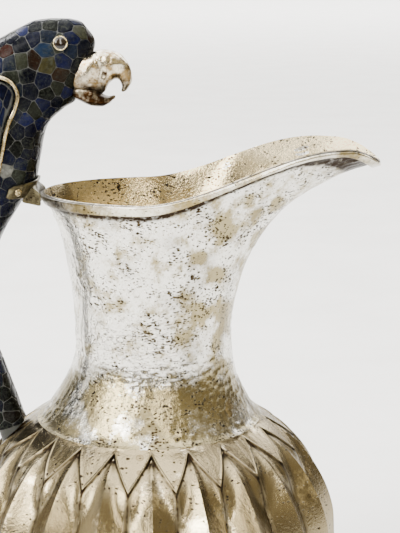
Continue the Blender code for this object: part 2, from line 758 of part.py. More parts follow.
def make_rivet(name, side, material):
    """A round-headed rivet through the yoke into the bird."""
    at, n = rivet_frame(side)
    seat = 2 * GAP + YOKE_THICK + 0.0003
    profile = (
        (RIVET_SHANK, -RIVET_DEPTH),
        (RIVET_SHANK, seat),
        (RIVET_HEAD, seat),
        (RIVET_HEAD, seat + 0.0003),
        (RIVET_HEAD * 0.8, seat + 0.0008),
        (RIVET_HEAD * 0.4, seat + 0.0011),
    )
    rows = turned_rows(profile, at, n, 16)
    tip = at + n * (seat + 0.0012)
    item = grid_object(name, rows, material, last=tuple(tip))
    return smooth(close_ends(item), 40)


def make_rivet_cutter(name, side):
    """The clearance hole for a rivet's shank."""
    at, n = rivet_frame(side)
    profile = ((RIVET_SHANK + GAP, -RIVET_DEPTH - 0.002), (RIVET_SHANK + GAP, 0.004))
    rows = turned_rows(profile, at, n, 16)
    item = grid_object(name, rows, bpy.data.materials.new(name))
    close_ends(item)
    item.hide_render = True
    item.display_type = "WIRE"
    return item


# ---------------------------------------------------------------- build
def build():
    """Clears the scene and makes every piece."""
    for item in list(bpy.data.objects):
        bpy.data.objects.remove(item, do_unlink=True)
    bright = make_material("hammered_silver", (0.78, 0.76, 0.71), 1.0, 0.28)
    warm = make_material("fluted_silver", (0.74, 0.68, 0.55), 1.0, 0.25)
    trim = make_material("polished_silver", (0.80, 0.78, 0.74), 1.0, 0.18)
    shell = make_material("shell_metal", (0.55, 0.42, 0.25), 1.0, 0.4)
    blue = make_material("stone_mosaic", (0.02, 0.03, 0.08), 0.0, 0.15)
    dark = make_material("dark_inlay", (0.01, 0.01, 0.02), 0.0, 0.12)
    eye = make_material("eye_stone", (0.03, 0.02, 0.01), 0.0, 0.08)

    make_bowl(warm)
    make_neck(bright)
    make_band(trim)
    make_foot(bright)

    upper = make_root_cutter("cut_upper_root", UPPER_BEAK)
    lower = make_root_cutter("cut_lower_root", LOWER_BEAK)
    cut_away(upper, lower, "UNION")
    holes = [make_rivet_cutter("cut_rivet_left", 1.0)]
    holes.append(make_rivet_cutter("cut_rivet_right", -1.0))
    end = len(BIRD_CUTS) - 1.0
    near = 0.02
    head_cuts = (0.0, 0.4, 0.8, 1.2, 1.6, 2.0, 2.5, 3.0, 3.5, 4.0, 4.5, HEAD_END - near)
    breast_cuts = (HEAD_END + near, 5.5, 6.0, 6.5, 7.0, 7.5, 8.0, 8.5, 9.0, 9.5, BREAST_END - near)
    tail_cuts = (BREAST_END + near, 10.5, 11.0, 11.5, 12.0, 13.0, end)
    inset = SKIN + GAP
    core_cuts = head_cuts + breast_cuts + tail_cuts
    core = bird_piece("bird_shell", shell, core_cuts, 20, inset, inset + SHELL, True)
    head = bird_piece("head_mosaic", blue, head_cuts, 20, 0.0, SKIN, True)
    breast = bird_piece("breast_mosaic", blue, breast_cuts, 20, 0.0, SKIN)
    bird_piece("tail_mosaic", blue, tail_cuts, 20, 0.0, SKIN)
    cut_away(core, upper)
    cut_away(head, upper)
    yoke = make_yoke(bright)
    make_lug(bright)
    for hole in holes:
        cut_away(core, hole)
        cut_away(breast, hole)
        cut_away(yoke, hole)

    make_beak("beak_upper", UPPER_BEAK, UPPER_TIP, trim)
    make_beak("beak_lower", LOWER_BEAK, LOWER_TIP, trim)
    for tag, side in (("left", 1.0), ("right", -1.0)):
        make_wing("wing_" + tag, side, dark)
        make_wing_wire("wing_wire_" + tag, side, trim)
        make_eye(tag, side, trim, eye)
        make_rivet("rivet_" + tag, side, trim)


build()
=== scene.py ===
# %% [markdown]
# # A hammered silver pitcher with a stone-covered parrot
#
# The real pitcher is raised from plated sheet metal with a hammer: a fluted globe, a neck that
# opens into a long spout, and a parrot, covered in chips of dark stone, that is the handle. The
# solid model already gives each piece its place and size. This lesson gives each piece its finished
# surface. It first loads the solid model.

# %% Load the solid model
import math

import bpy
import numpy as np
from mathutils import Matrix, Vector


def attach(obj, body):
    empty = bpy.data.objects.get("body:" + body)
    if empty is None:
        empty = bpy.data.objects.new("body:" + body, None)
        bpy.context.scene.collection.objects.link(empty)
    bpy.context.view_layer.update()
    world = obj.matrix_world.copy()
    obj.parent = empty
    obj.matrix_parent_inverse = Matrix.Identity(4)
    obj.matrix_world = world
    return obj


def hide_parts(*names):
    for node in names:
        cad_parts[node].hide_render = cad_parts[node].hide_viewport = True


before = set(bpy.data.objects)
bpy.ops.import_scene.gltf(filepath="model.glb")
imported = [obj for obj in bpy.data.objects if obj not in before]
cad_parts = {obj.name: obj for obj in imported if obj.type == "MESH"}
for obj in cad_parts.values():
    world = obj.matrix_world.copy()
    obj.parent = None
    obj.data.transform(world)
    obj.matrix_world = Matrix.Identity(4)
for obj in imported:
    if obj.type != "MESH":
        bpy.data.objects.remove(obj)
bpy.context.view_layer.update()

# %% [markdown]
# ## Turning grids of points into pieces
#
# Nearly every piece here is sheet metal, wire or stone with a smooth skin. Such a skin is a
# function of two parameters, so it is worked out with numpy on a grid of points, all at once. It
# could also be modelled by hand with subdivision, but a formula keeps hammer marks and flutes
# exact. The helper below joins neighbouring points into faces and turns them outwards.

# %% A grid of points becomes a mesh
def grid_piece(name, grid, wrap=True, ring=False, first=None, last=None, sharp=None):
    """Makes an object from a rows x columns x 3 array of points.

    Four neighbours make a face. wrap joins the last column to the first and ring the last row to
    the first. first and last are points that close the ends with fans. The faces look outwards
    when the volume they enclose, the sum of the pyramids from the origin to each face, is
    positive. Edges steeper than sharp degrees stay sharp.
    """
    rows, columns = grid.shape[:2]
    index = np.arange(rows * columns).reshape(rows, columns)
    if ring:
        index = np.vstack([index, index[:1]])
    if wrap:
        index = np.hstack([index, index[:, :1]])
    corners = [index[:-1, :-1], index[:-1, 1:], index[1:, 1:], index[1:, :-1]]
    quads = np.stack(corners, -1).reshape(-1, 4)
    points = grid.reshape(-1, 3)
    fans = []
    for pole, edge, order in ((first, index[0], (2, 1, 0)), (last, index[-1], (0, 1, 2))):
        if pole is not None:
            points = np.vstack([points, pole])
            tip = np.full(len(edge) - 1, len(points) - 1)
            fans.append(np.stack([edge[:-1], edge[1:], tip], -1)[:, order])
    triangles = np.vstack(fans) if fans else np.zeros((0, 3), int)
    return mesh_piece(name, points, quads, triangles, sharp)


def enclosed(points, triangles):
    """Volume inside closed triangles: a sixth of the sum of each corner triple's determinant."""
    a, b, c = (points[triangles[:, k]] for k in range(3))
    return np.einsum("ij,ij->i", a, np.cross(b, c)).sum() / 6


def mesh_piece(name, points, quads, triangles, sharp=None):
    """Puts points, four-sided faces and triangles into a new, smooth-shaded object."""
    halves = np.vstack([quads[:, :3], quads[:, [0, 2, 3]], triangles])
    faces = quads.tolist() + triangles.tolist()
    if enclosed(points, halves) < 0:
        faces = [face[::-1] for face in faces]
    mesh = bpy.data.meshes.new(name)
    mesh.from_pydata(points.tolist(), [], faces)
    mesh.polygons.foreach_set("use_smooth", np.ones(len(mesh.polygons), bool))
    if sharp is not None:
        mesh.set_sharp_from_angle(angle=math.radians(sharp))
    mesh.update()
    piece = bpy.data.objects.new(name, mesh)
    bpy.context.scene.collection.objects.link(piece)
    print(f"made {name}: {len(faces)} faces")
    return piece


def paint(piece, name, values):
    """Stores one number per point as an attribute that a material can read."""
    layer = piece.data.attributes.new(name, "FLOAT", "POINT")
    layer.data.foreach_set("value", np.ravel(values).astype(np.float32))


def settle(piece, material, slot, *nodes):
    """Gives a piece its material, fixes it to the pitcher and hides the solids it stands for."""
    piece.data.materials.append(material)
    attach(piece, "root")
    if nodes:
        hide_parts(*nodes)
    print(f"{piece.name} is {material.name}")


# %% [markdown]
# ## What a hammer leaves
#
# A raising hammer leaves shallow round dishes that meet in low ridges. The pattern is a Voronoi
# diagram, which Blender's textures also offer, but a texture only bends the light. Worked out
# here, it moves the real surface, so the outline and the reflections both waver. Slow waves from a
# few sines add the unevenness of handwork.

# %% Hammer blows and slow waves
def scatter(i, j, seed):
    """A repeatable number from 0 to 1 for each cell: the fraction of a large multiple of a sine."""
    return np.modf(np.abs(np.sin(i * 127.1 + j * 311.7 + seed * 74.7)) * 43758.5453)[0]


def blows(along, across, around, seed=0.0):
    """Distance from each point to the nearest hammer blow, in blow spacings.

    along and across count spacings over the sheet, and along repeats after around of them. Each
    cell holds one blow at a scattered place, and the nearest of the nine cells' blows counts.
    """
    nearest = np.full(np.broadcast(along, across).shape, 9.0)
    for di in (-1, 0, 1):
        for dj in (-1, 0, 1):
            i = np.floor(along) + di
            j = np.floor(across) + dj
            x = i + 0.15 + 0.7 * scatter(np.mod(i, around), j, seed)
            y = j + 0.15 + 0.7 * scatter(np.mod(i, around), j, seed + 5.0)
            nearest = np.minimum(nearest, np.hypot(x - along, y - across))
    return nearest


def waves(points, length, seed, count=7):
    """A slow wander from about -1 to 1: the mean of sines along random directions."""
    rng = np.random.default_rng(seed)
    directions = unit(rng.normal(size=(count, 3)))
    phases = rng.uniform(0, math.tau, count)
    sines = np.sin(points @ directions.T * math.tau / length + phases)
    return sines.sum(-1) / math.sqrt(count)


def turns(count):
    """Even steps round a full turn, in radians."""
    return np.arange(count) * math.tau / count


def unit(vectors, least=0.0):
    """The same directions with length one. least is added to the length where it may be nothing."""
    return vectors / (np.linalg.norm(vectors, axis=-1, keepdims=True) + least)


def ease(value):
    """Goes smoothly from 0 to 1 as the value does: three squares less two cubes."""
    value = np.clip(value, 0, 1)
    return value * value * (3 - 2 * value)


# %% [markdown]
# ## Sizes
#
# These are the solid model's sizes, in metres, so that each new skin lies where its solid does.

# %% The pitcher's sizes
GAP = 0.0003
SHEET = 0.0010
BODY_RADIUS = 0.0905
BODY_X = -0.0024
BELLY_DROP = 0.0715
GIRTH_Z = 0.0125 + BELLY_DROP
SHOULDER_RISE = 0.0750
BELLY_SQUARE = 2.4
SEAM_RADIUS = 0.0540
FLUTES = 21
FLUTE_PHASE = math.radians(-87.0)
FLUTE_PEAK_RADIUS = SEAM_RADIUS + 0.0023
FLUTE_VALLEY_RADIUS = FLUTE_PEAK_RADIUS + 0.0152
RIDGE_RISE = 0.0012
GROOVE_DEPTH = 0.0048
CREASE_DEPTH = 0.0004
CREASE_SHARE = 0.05
NECK_RADIUS = 0.0374
NECK_Z = GIRTH_Z + 0.0960
RIM_BACK = 0.0515
RIM_FRONT = 0.1065
RIM_HALF_WIDTH = 0.0435
RIM_CENTRE_X = 0.0050
RIM_Z = NECK_Z + 0.0730
BAND_HEIGHT = 0.0046
BAND_THICK = 0.0016
FOOT_TOP_RADIUS = 0.0485
FOOT_RADIUS = FOOT_TOP_RADIUS + 0.0075
FLUTE_END_RADIUS = FOOT_TOP_RADIUS + 0.0015
FOOT_WALL = 0.0022
print("girth at", GIRTH_Z, "waist at", NECK_Z, "back of the rim at", RIM_Z)

# %% [markdown]
# ## The fluted globe
#
# The lower body is one sheet, chased from outside into 21 flutes. Under the shoulder the flutes end
# in a zigzag: a chased line runs along it, and the metal below is set back a little. The shape
# could be modelled as one flute and copied round, but the flutes lean on a spheroid that sits off
# the neck's axis, so the whole globe is one function of the angle and the height.

# %% The globe's skin
def shoulder_angle(radius):
    """The rise above the girth, as an angle, where the spheroid has this radius."""
    return math.acos(radius / BODY_RADIUS)


def flute_position(angle):
    """Place across a flute: 0 on its ridge and 1 in the groove either side."""
    turn = (angle - FLUTE_PHASE) * FLUTES / math.tau
    return 2.0 * np.abs(turn - np.round(turn))


def facet(u):
    """Depth of a flute's side, 0 on the ridge and 1 in the groove, scooped a little between."""
    return u + 0.09 * np.sin(math.pi * u)


def border_distance(angle, f):
    """How far a point is above the zigzag, in metres: its rise less the border's, made square."""
    u = flute_position(angle)
    border = shoulder_angle(FLUTE_PEAK_RADIUS) * (1 - u) + shoulder_angle(FLUTE_VALLEY_RADIUS) * u
    seam = shoulder_angle(SEAM_RADIUS)
    rise = np.where(f <= 1, f * border, border + (f - 1) * (seam - border))
    return rise, (rise - border) * BODY_RADIUS * 0.49


def about_body(radius, angle, z):
    """Points at a radius and an angle about the body's axis, at a height."""
    return np.stack([BODY_X + radius * np.cos(angle), radius * np.sin(angle), z + 0 * angle], -1)


def globe_upper(angle, f, inset=0.0, chased=True):
    """The globe from the girth (f=0) to the zigzag (f=1) and the neck's seam (f=2).

    A circle of the spheroid, pushed out on the ridges and in along the grooves. Chasing adds a
    raised line 0.3 mm high on the zigzag, a step of 0.5 mm below it, and a pit under each point.
    """
    u = flute_position(angle)
    rise, above = border_distance(angle, f)
    left = np.clip(1.0 - f, 0.0, 1.0)
    ridge = RIDGE_RISE * (1 - u) * ease(left / 0.25)
    groove = (GROOVE_DEPTH * facet(u) + RIDGE_RISE * (facet(u) - u)) * ease(left / 0.36)
    push = ridge - groove - inset
    if chased:
        below = np.clip(-above, 0, None)
        push = push - 0.0005 * ease(below / 0.0008) * (0.35 + 0.65 * np.exp(-below / 0.012))
        push = push + 0.0003 * np.exp(-(((above - 0.0004) / 0.00045) ** 2))
        push = push - 0.0007 * np.exp(-((u / 0.16) ** 2) - (((above + 0.0013) / 0.0011) ** 2))
        push = push - CREASE_DEPTH * (1 - ease((1 - u) / CREASE_SHARE)) * ease(left / 0.05)
    z = GIRTH_Z + (SHOULDER_RISE + push) * np.sin(rise)
    return about_body((BODY_RADIUS + push) * np.cos(rise), angle, z)


def globe_lower(angle, a, inset=0.0):
    """The globe below the girth, where a is a quarter turn, down to the pole, where a is 0.

    The radius is the sine, and the drop the cosine, each to a power that squares the belly.
    """
    u = flute_position(angle)
    radius = BODY_RADIUS * np.sin(a) ** (2.0 / BELLY_SQUARE)
    z = GIRTH_Z - BELLY_DROP * np.cos(a) ** (2.0 / BELLY_SQUARE)
    span = BODY_RADIUS - FLUTE_END_RADIUS
    fade = np.clip((radius - FLUTE_END_RADIUS) / span, 0, 1) ** 0.7
    depth = GROOVE_DEPTH * facet(u) + RIDGE_RISE * (facet(u) - u)
    depth = depth + CREASE_DEPTH * (1 - ease((1 - u) / CREASE_SHARE))
    push = (RIDGE_RISE * (1 - u) - depth) * fade - inset
    return about_body(radius + push * np.sin(a), angle, z - push * np.cos(a))


# %% The globe's grid, outside and inside
FLUTE_STEPS = 24
GLOBE_BLOWS = 92
BLOW_SPACING = 0.0062
LINING_DEPTH = 1.5 * SHEET
turn = FLUTE_PHASE + turns(FLUTES * FLUTE_STEPS)
low = np.radians(np.concatenate([np.linspace(4, 22, 5)[:-1], np.linspace(22, 90, 44)[:-1]]))
high = np.concatenate([np.linspace(0, 0.9, 34)[:-1], np.linspace(0.9, 1.3, 30)[:-1],
                       np.linspace(1.3, 2, 14)])
lower = globe_lower(turn[None, :], low[:, None])
upper = globe_upper(turn[None, :], high[:, None])
skin = np.concatenate([lower, upper])
spread = turn[None, :] / math.tau * GLOBE_BLOWS + 0 * skin[..., 0]
climb = (skin[..., 2] * 0.6 + np.hypot(skin[..., 0], skin[..., 1]) * 0.55) / BLOW_SPACING
dished = np.clip(blows(spread, climb, GLOBE_BLOWS, 3.0) * 1.3, 0, 1) ** 2
outward = unit(skin - np.array([BODY_X, 0.0, GIRTH_Z]))
to_seam = np.concatenate([np.ones(len(low)), ease((2 - high) / 0.12)])[:, None]
sunk = 0.00010 + 0.00020 * (1 - dished) + 0.00016 * (1 + waves(skin, 0.021, 11))
globe_skin = skin - outward * (sunk * to_seam)[..., None]
inner_low = np.radians(np.linspace(6, 84, 14))
inner_high = np.linspace(0, 2, 16)
lining = np.concatenate([
    globe_lower(turn[None, :], inner_low[:, None], LINING_DEPTH),
    globe_upper(turn[None, :], inner_high[:, None], LINING_DEPTH, chased=False)])
bottom, floor_inside = ((BODY_X, 0.0, GIRTH_Z - BELLY_DROP + rise)
                        for rise in (0.0002, LINING_DEPTH))
globe = grid_piece("bowl_fluted", np.concatenate([globe_skin, lining[::-1]]), first=bottom,
                   last=floor_inside, sharp=52)

# %% [markdown]
# Tarnish gathers where polish never reaches, down the grooves. Along the step under the zigzag and
# in the pit under each point, the dark film is tarnish and also painted shade, for the shadow
# those hollows hold. Its strength is stored on the points.

# %% Where the globe is tarnished, with painted shade at the step and the points
across = flute_position(turn)[None, :]
above = border_distance(turn[None, :], high[:, None])[1]
above = np.concatenate([np.full(lower.shape[:2], -0.03), above])
groove_dirt = np.exp(-(((1 - across) / 0.085) ** 2)) * (above < 0)
# painted shade and tarnish: a dark line at the foot of the step under the zigzag
step_shade_and_tarnish = np.exp(-(((above + 0.0006) / 0.0007) ** 2))
# painted shade and tarnish: dark in the pit under each point, in the overhang's shadow
point_shade_and_tarnish = np.exp(-((across / 0.2) ** 2) - (((above + 0.0016) / 0.0018) ** 2))
dirt_and_shade = np.clip(0.8 * groove_dirt + 0.75 * step_shade_and_tarnish + point_shade_and_tarnish, 0, 1)
lining_dirt = np.full(lining[..., 0].size, 0.4)
paint(globe, "tarnish_and_shade", np.concatenate([dirt_and_shade.ravel(), lining_dirt, [0.5, 0.4]]))

# %% [markdown]
# ## The hammered neck and spout
#
# The neck is a second sheet, sunk into a waist and opened into an egg-shaped rim with a long lip.
# Each line up it is a curve from the waist circle to the rim: a cubic Bezier curve, whose two
# middle points set how it leaves the waist and how it flares. A lofted subdivision mesh would do
# as well, but the formula also gives the normals that the hammer marks follow.

# %% The neck's skin
def rim_point(angle):
    """The rim at a plan angle: a half ellipse behind, and a drawn-out, pinched one in front."""
    c = np.cos(angle)
    s = np.sin(angle)
    front = RIM_FRONT - RIM_CENTRE_X
    back = RIM_BACK + RIM_CENTRE_X
    x = RIM_CENTRE_X + np.where(c > 0, front * (c + 0.25 * c * (1 - c * c)), back * c)
    y = RIM_HALF_WIDTH * s * (1 - 0.20 * np.exp(-(((c - 0.78) / 0.28) ** 2)))
    lip = np.clip((x - 0.088) / (RIM_FRONT - 0.088), 0, 1)
    z = RIM_Z + 0.0220 * ease((x + 0.005) / 0.088) - 0.0080 * lip**2
    return np.stack([x, y, z], -1)


def neck_skin(angle, v):
    """Outside of the neck, where v is -1 at the seam, 0 at the waist and 1 at the rim.

    Just above the seam the neck flares a little more, so that it runs into the shoulder's slope.
    """
    angle, v = np.broadcast_arrays(angle, v)
    spoke = np.stack([np.cos(angle), np.sin(angle), np.zeros_like(angle)], -1)
    low = np.clip(-v, 0, 1)
    foot = GIRTH_Z + SHOULDER_RISE * math.sin(shoulder_angle(SEAM_RADIUS))
    radius = NECK_RADIUS + (SEAM_RADIUS - NECK_RADIUS) * low**1.9 - 0.024 * low**10 * (1 - low)
    under = spoke * radius[..., None]
    under[..., 0] += BODY_X * low**1.5
    under[..., 2] = NECK_Z - (NECK_Z - foot) * low
    t = np.clip(v, 0, 1)[..., None]
    forward = np.clip(np.cos(angle), 0, 1) ** 2
    waist = spoke * NECK_RADIUS
    waist[..., 2] = NECK_Z
    leave = waist.copy()
    leave[..., 2] += 0.035 + 0.013 * forward
    rim = rim_point(angle)
    flare = rim + 0.66 * (waist - rim)
    flare[..., 2] = rim[..., 2] - 0.0175 + 0.0065 * forward
    s = 1 - t
    over = s**3 * waist + 3 * s * s * t * leave + 3 * s * t * t * flare + t**3 * rim
    return np.where((v > 0)[..., None], over, under)


def neck_normal(angle, v):
    """Outward normal of the neck: the cross product of small steps round it and up it."""
    e = 1e-4
    round_step = neck_skin(angle + e, v) - neck_skin(angle - e, v)
    up_step = neck_skin(angle, np.minimum(v + e, 1)) - neck_skin(angle, v - e)
    return unit(np.cross(round_step, up_step))


# %% Hammer marks on the neck
NECK_COLUMNS = 480
NECK_BLOWS = 66
NECK_BLOW_SPACING = 0.0033
plan = turns(NECK_COLUMNS)[None, :]
level = np.concatenate([np.linspace(-1, 0, 54)[:-1], np.linspace(0, 1, 100)])[:, None]
neck_outer = neck_skin(plan, level)
neck_out = neck_normal(plan, level)
up = np.where(level < 0, 0.044, 0.082) * level / NECK_BLOW_SPACING
dish = blows(plan / math.tau * NECK_BLOWS + 0 * level, up + 0 * plan, NECK_BLOWS, 1.0)
dish = np.clip(dish * 1.25, 0, 1)
edge_fade = ease((level + 1) / 0.05) * ease((1 - level) / 0.05)
wander = waves(neck_outer, 0.030, 4) * 0.00022 + waves(neck_outer, 0.011, 5) * 0.00006
strength = 0.00016 + 0.00034 * ease(waves(neck_outer, 0.026, 6) * 0.6 + 0.5)
marks = (wander - strength * (1 - dish**2)) * edge_fade
neck_face = neck_outer + neck_out * marks[..., None]
lining_level = np.linspace(1, -1, 50)[:, None]
lining_outer = neck_skin(plan, lining_level)
lining_out = neck_normal(plan, lining_level)
ripples = waves(lining_outer, 0.024, 8) * 0.00030 + waves(lining_outer, 0.013, 9) * 0.00010
lining_fade = ease((1 - lining_level) / 0.06) * ease((lining_level + 1) / 0.06)
neck_lining = lining_outer - lining_out * (SHEET + ripples * lining_fade)[..., None]
neck = grid_piece("neck_and_spout", np.concatenate([neck_face, neck_lining]), ring=True, sharp=50)

# %% [markdown]
# ## The strip round the rim
#
# A flat strip is bent round the outside of the rim and soldered on, to stiffen it. It is a section
# carried along a path. A bevelled curve would twist as the rim rises, so the section is laid
# between the neck's own surface and its normal.

# %% The rim strip
def squared(turn, power):
    """A squared circle: cosine and sine, each to two over the power, with their signs kept."""
    c, s = np.cos(turn), np.sin(turn)
    return np.sign(c) * np.abs(c) ** (2 / power), np.sign(s) * np.abs(s) ** (2 / power)


path = turns(560)[:, None]
top_edge = neck_skin(path, np.ones_like(path))
run = np.linalg.norm(top_edge - neck_skin(path, np.full_like(path, 0.9)), axis=-1)
tall = BAND_HEIGHT * (1 + 0.035 * waves(top_edge, 0.045, 21))
low_edge = neck_skin(path, 1 - 0.1 * tall / run)
strip_out = neck_normal(path, np.full_like(path, 0.9999))
strip_up = (top_edge - low_edge) / tall[..., None]
strip_mid = (top_edge + low_edge) / 2 + strip_out * (GAP / 3 + BAND_THICK / 2)
lift, thrust = squared(turns(28)[None, :], 5.0)
dent = 0.00009 * waves(strip_mid, 0.009, 22) * np.clip(thrust, 0, 1)
strip = (
    strip_mid
    + strip_up * (lift * (tall / 2 - 0.00005))[..., None]
    + strip_out * (thrust * BAND_THICK / 2 + dent - 0.0001)[..., None]
)
band = grid_piece("rim_strip", strip, ring=True, sharp=60)

# %% [markdown]
# ## The foot
#
# The foot is a turned ring that lifts the globe off the table. It is a profile carried round the
# upright axis, with the corners eased as a file would leave them.

# %% The foot ring
def cubic(here, after, slope, slope_after, t):
    """The cubic that leaves one value and reaches the next with given slopes, at share t."""
    h = t * t * (3 - 2 * t)
    return here * (1 - h) + after * h + slope * t * (1 - t) ** 2 - slope_after * t * t * (1 - t)


def eased_profile(points, steps):
    """A closed curve through the points: Catmull-Rom, a cubic whose slope joins the neighbours."""
    t = np.linspace(0, 1, steps, endpoint=False)[None, :, None]
    before, here, after, beyond = (np.roll(points, k, 0)[:, None, :] for k in (1, 0, -1, -2))
    return cubic(here, after, (after - before) / 2, (beyond - here) / 2, t).reshape(-1, 2)


bell = math.asin((FOOT_TOP_RADIUS / BODY_RADIUS) ** (BELLY_SQUARE / 2.0))
foot_top = GIRTH_Z - BELLY_DROP * math.cos(bell) ** (2.0 / BELLY_SQUARE) - 2 * GAP
inner = FOOT_TOP_RADIUS - FOOT_WALL
foot_points = (
    (inner, foot_top - 0.0006), (FOOT_TOP_RADIUS, foot_top - 0.0004),
    (FOOT_TOP_RADIUS + 0.0006, foot_top - 0.0040), (FOOT_TOP_RADIUS + 0.0026, foot_top - 0.0090),
    (FOOT_RADIUS - 0.0012, 0.0048),
    (FOOT_RADIUS - 0.0002, 0.0034), (FOOT_RADIUS - 0.0002, 0.0012), (FOOT_RADIUS - 0.0012, 0.0002),
    (FOOT_RADIUS - 0.0030, 0.0), (FOOT_RADIUS - 0.0048, 0.0002), (FOOT_RADIUS - 0.0056, 0.0030),
    (inner + 0.0020, foot_top - 0.0090), (inner, foot_top - 0.0040),
)
foot_profile = eased_profile(foot_points, 5)
foot_profile[:, 1] = np.clip(foot_profile[:, 1], 0.0, foot_top)
foot_grid = about_body(foot_profile[None, :, 0], turns(300)[:, None], foot_profile[None, :, 1])
soft_dents = waves(foot_grid, 0.012, 31) * 0.00010 * ease(foot_grid[..., 2] / 0.003)
foot_grid[..., :2] *= (1 - np.abs(soft_dents) / 0.05)[..., None]
foot = grid_piece("foot_turned", foot_grid, ring=True, sharp=50)
print("foot from", foot_grid[..., 2].min(), "to", round(foot_grid[..., 2].max(), 4))

# %% [markdown]
# ## The bird's form
#
# The parrot hangs on the back of the rim. It was drawn as cuts across its spine, from crown to
# tail: a point on the breast, a point on the back, a half width and how square the cut is. A
# smooth curve through the rows of that table gives a cut anywhere between. Sculpting would be the
# usual way; cuts keep both sides alike and keep it on the solid model's surface.

# %% The bird's cuts
BIRD_CUTS = np.array([
    (-0.0303, 0.3303, -0.0560, 0.3314, 0.0078, 2.1),
    (-0.0255, 0.3228, -0.0672, 0.3256, 0.0128, 2.1),
    (-0.0282, 0.3125, -0.0765, 0.3203, 0.0145, 2.1),
    (-0.0330, 0.3022, -0.0826, 0.3155, 0.0156, 2.2),
    (-0.0350, 0.2955, -0.0880, 0.3096, 0.0164, 2.3),
    (-0.0412, 0.2912, -0.0938, 0.3020, 0.0170, 2.5),
    (-0.0485, 0.2835, -0.0995, 0.2910, 0.0176, 2.7),
    (-0.0518, 0.2700, -0.1043, 0.2750, 0.0180, 2.9),
    (-0.0545, 0.2580, -0.1070, 0.2570, 0.0176, 3.0),
    (-0.0612, 0.2480, -0.1062, 0.2350, 0.0160, 3.0),
    (-0.0720, 0.2295, -0.1022, 0.2155, 0.0132, 3.1),
    (-0.0790, 0.2050, -0.0968, 0.1980, 0.0104, 3.2),
    (-0.0768, 0.1840, -0.0912, 0.1780, 0.0090, 3.4),
    (-0.0705, 0.1655, -0.0838, 0.1590, 0.0081, 3.6),
    (-0.0622, 0.1412, -0.0742, 0.1306, 0.0072, 3.6),
])
CROWN = np.array([-0.0415, 0.0, 0.3333])
HEAD_END = 5.0
BREAST_END = 10.0
TAIL_END = len(BIRD_CUTS) - 1.0


def through(table, s):
    """Values of a table's rows at place s between them, as a cubic whose slope joins neighbours."""
    s = np.asarray(s, float)
    last = len(table) - 1
    i = np.clip(np.floor(s).astype(int), 0, last - 1)
    t = (s - i)[..., None]
    before, here = table[np.clip(i - 1, 0, last)], table[i]
    after, beyond = table[i + 1], table[np.clip(i + 2, 0, last)]
    gap_a = (i + 1 - np.clip(i - 1, 0, None))[..., None]
    gap_b = (np.clip(i + 2, 0, last) - i)[..., None]
    return cubic(here, after, (after - before) / gap_a, (beyond - here) / gap_b, t)


def bird_side(s, c, side, inset=0.0):
    """A point of the bird, where c runs from 1 at the breast to -1 at the back.

    Along the cut it is c times the reach; sideways it is the half width times one less c to the
    cut's power, to one over that power.
    """
    fx, fz, bx, bz, half, square = np.moveaxis(through(BIRD_CUTS, s), -1, 0)
    reach = np.hypot(fx - bx, fz - bz) / 2
    dx, dz = (fx - bx) / 2 / reach, (fz - bz) / 2 / reach
    y = (half - inset) * (1 - np.abs(c) ** square) ** (1 / square)
    along = (reach - inset) * c
    return np.stack([(fx + bx) / 2 + dx * along, side * y, (fz + bz) / 2 + dz * along], -1)


def bird_skin(s, about, inset=0.0):
    """A point of the bird at place s and turn round it. Below 0, s crosses the crown.

    Over the crown each line is a curve from the first cut to the crown's point: it leaves along
    the bird's side and arrives level, with its middle point where those two directions meet.
    """
    s, about = np.broadcast_arrays(s, about)
    square = through(BIRD_CUTS, np.clip(s, 0, None))[..., 5]
    c, _ = squared(about, square)
    side = np.sign(np.sin(about) + 1e-12)
    body = bird_side(np.clip(s, 0, None), c, side, inset)
    edge = bird_side(np.zeros_like(s), c, side, inset)
    second = bird_side(np.full_like(s, 0.12), c, side, inset)
    top = CROWN - np.array([0.0, 0.0, inset])
    reach = (top[2] - edge[..., 2:]) / np.clip(edge[..., 2:] - second[..., 2:], 1e-6, None)
    middle = edge + (edge - second) * np.clip(reach, 0, 4.5)
    t = np.clip(-s, 0, 1)[..., None]
    cap = (1 - t) ** 2 * edge + 2 * t * (1 - t) * middle + t * t * top
    return np.where((s < 0)[..., None], cap, body)


def bird_out(s, about):
    """Outward normal of the bird, from small steps along it and round it."""
    e = 2e-3
    along = bird_skin(s + e, about) - bird_skin(s - e, about)
    across = bird_skin(s, about + e) - bird_skin(s, about - e)
    normal = np.cross(across, along)
    cut = through(BIRD_CUTS, np.clip(s, 0, None))
    x, z = (cut[..., 0] + cut[..., 2]) / 2, (cut[..., 1] + cut[..., 3]) / 2
    centre = np.stack([x, 0 * x, z], -1)
    away = np.sum(normal * (bird_skin(s, about) - centre), -1, keepdims=True)
    return unit(normal, 1e-12) * np.where(away < 0, -1.0, 1.0)


# %% [markdown]
# ## The cement and the stone chips
#
# The skin is a mosaic: flat chips of dark blue, green-black and brown stone, set edge to edge in
# pale cement and polished together. A bump texture could draw the joints, but the outline would
# stay smooth. Here each chip is real. Seeds are spread over the bird, each new one where the old
# ones are furthest away; each chip is the part of the seed's tangent plane that is nearer to its
# seed than to any other, cut back by half a joint; and its points are then drawn onto the skin.

# %% Spreading the seeds
def spread_seeds(samples, spacing, rng, first=()):
    """Numbers of samples chosen far apart, until none is further than spacing from a seed.

    Each sample's distance is scaled by a random share, so the chips differ in size.
    """
    share = rng.uniform(0.62, 1.25, len(samples))
    chosen = list(first)
    nearest = np.full(len(samples), 9.0)
    for k in chosen:
        nearest = np.minimum(nearest, np.linalg.norm(samples - samples[k], axis=1))
    while True:
        k = int(np.argmax(nearest * share))
        if chosen and nearest[k] * share[k] < spacing:
            return np.array(chosen)
        chosen.append(k)
        nearest = np.minimum(nearest, np.linalg.norm(samples - samples[k], axis=1))


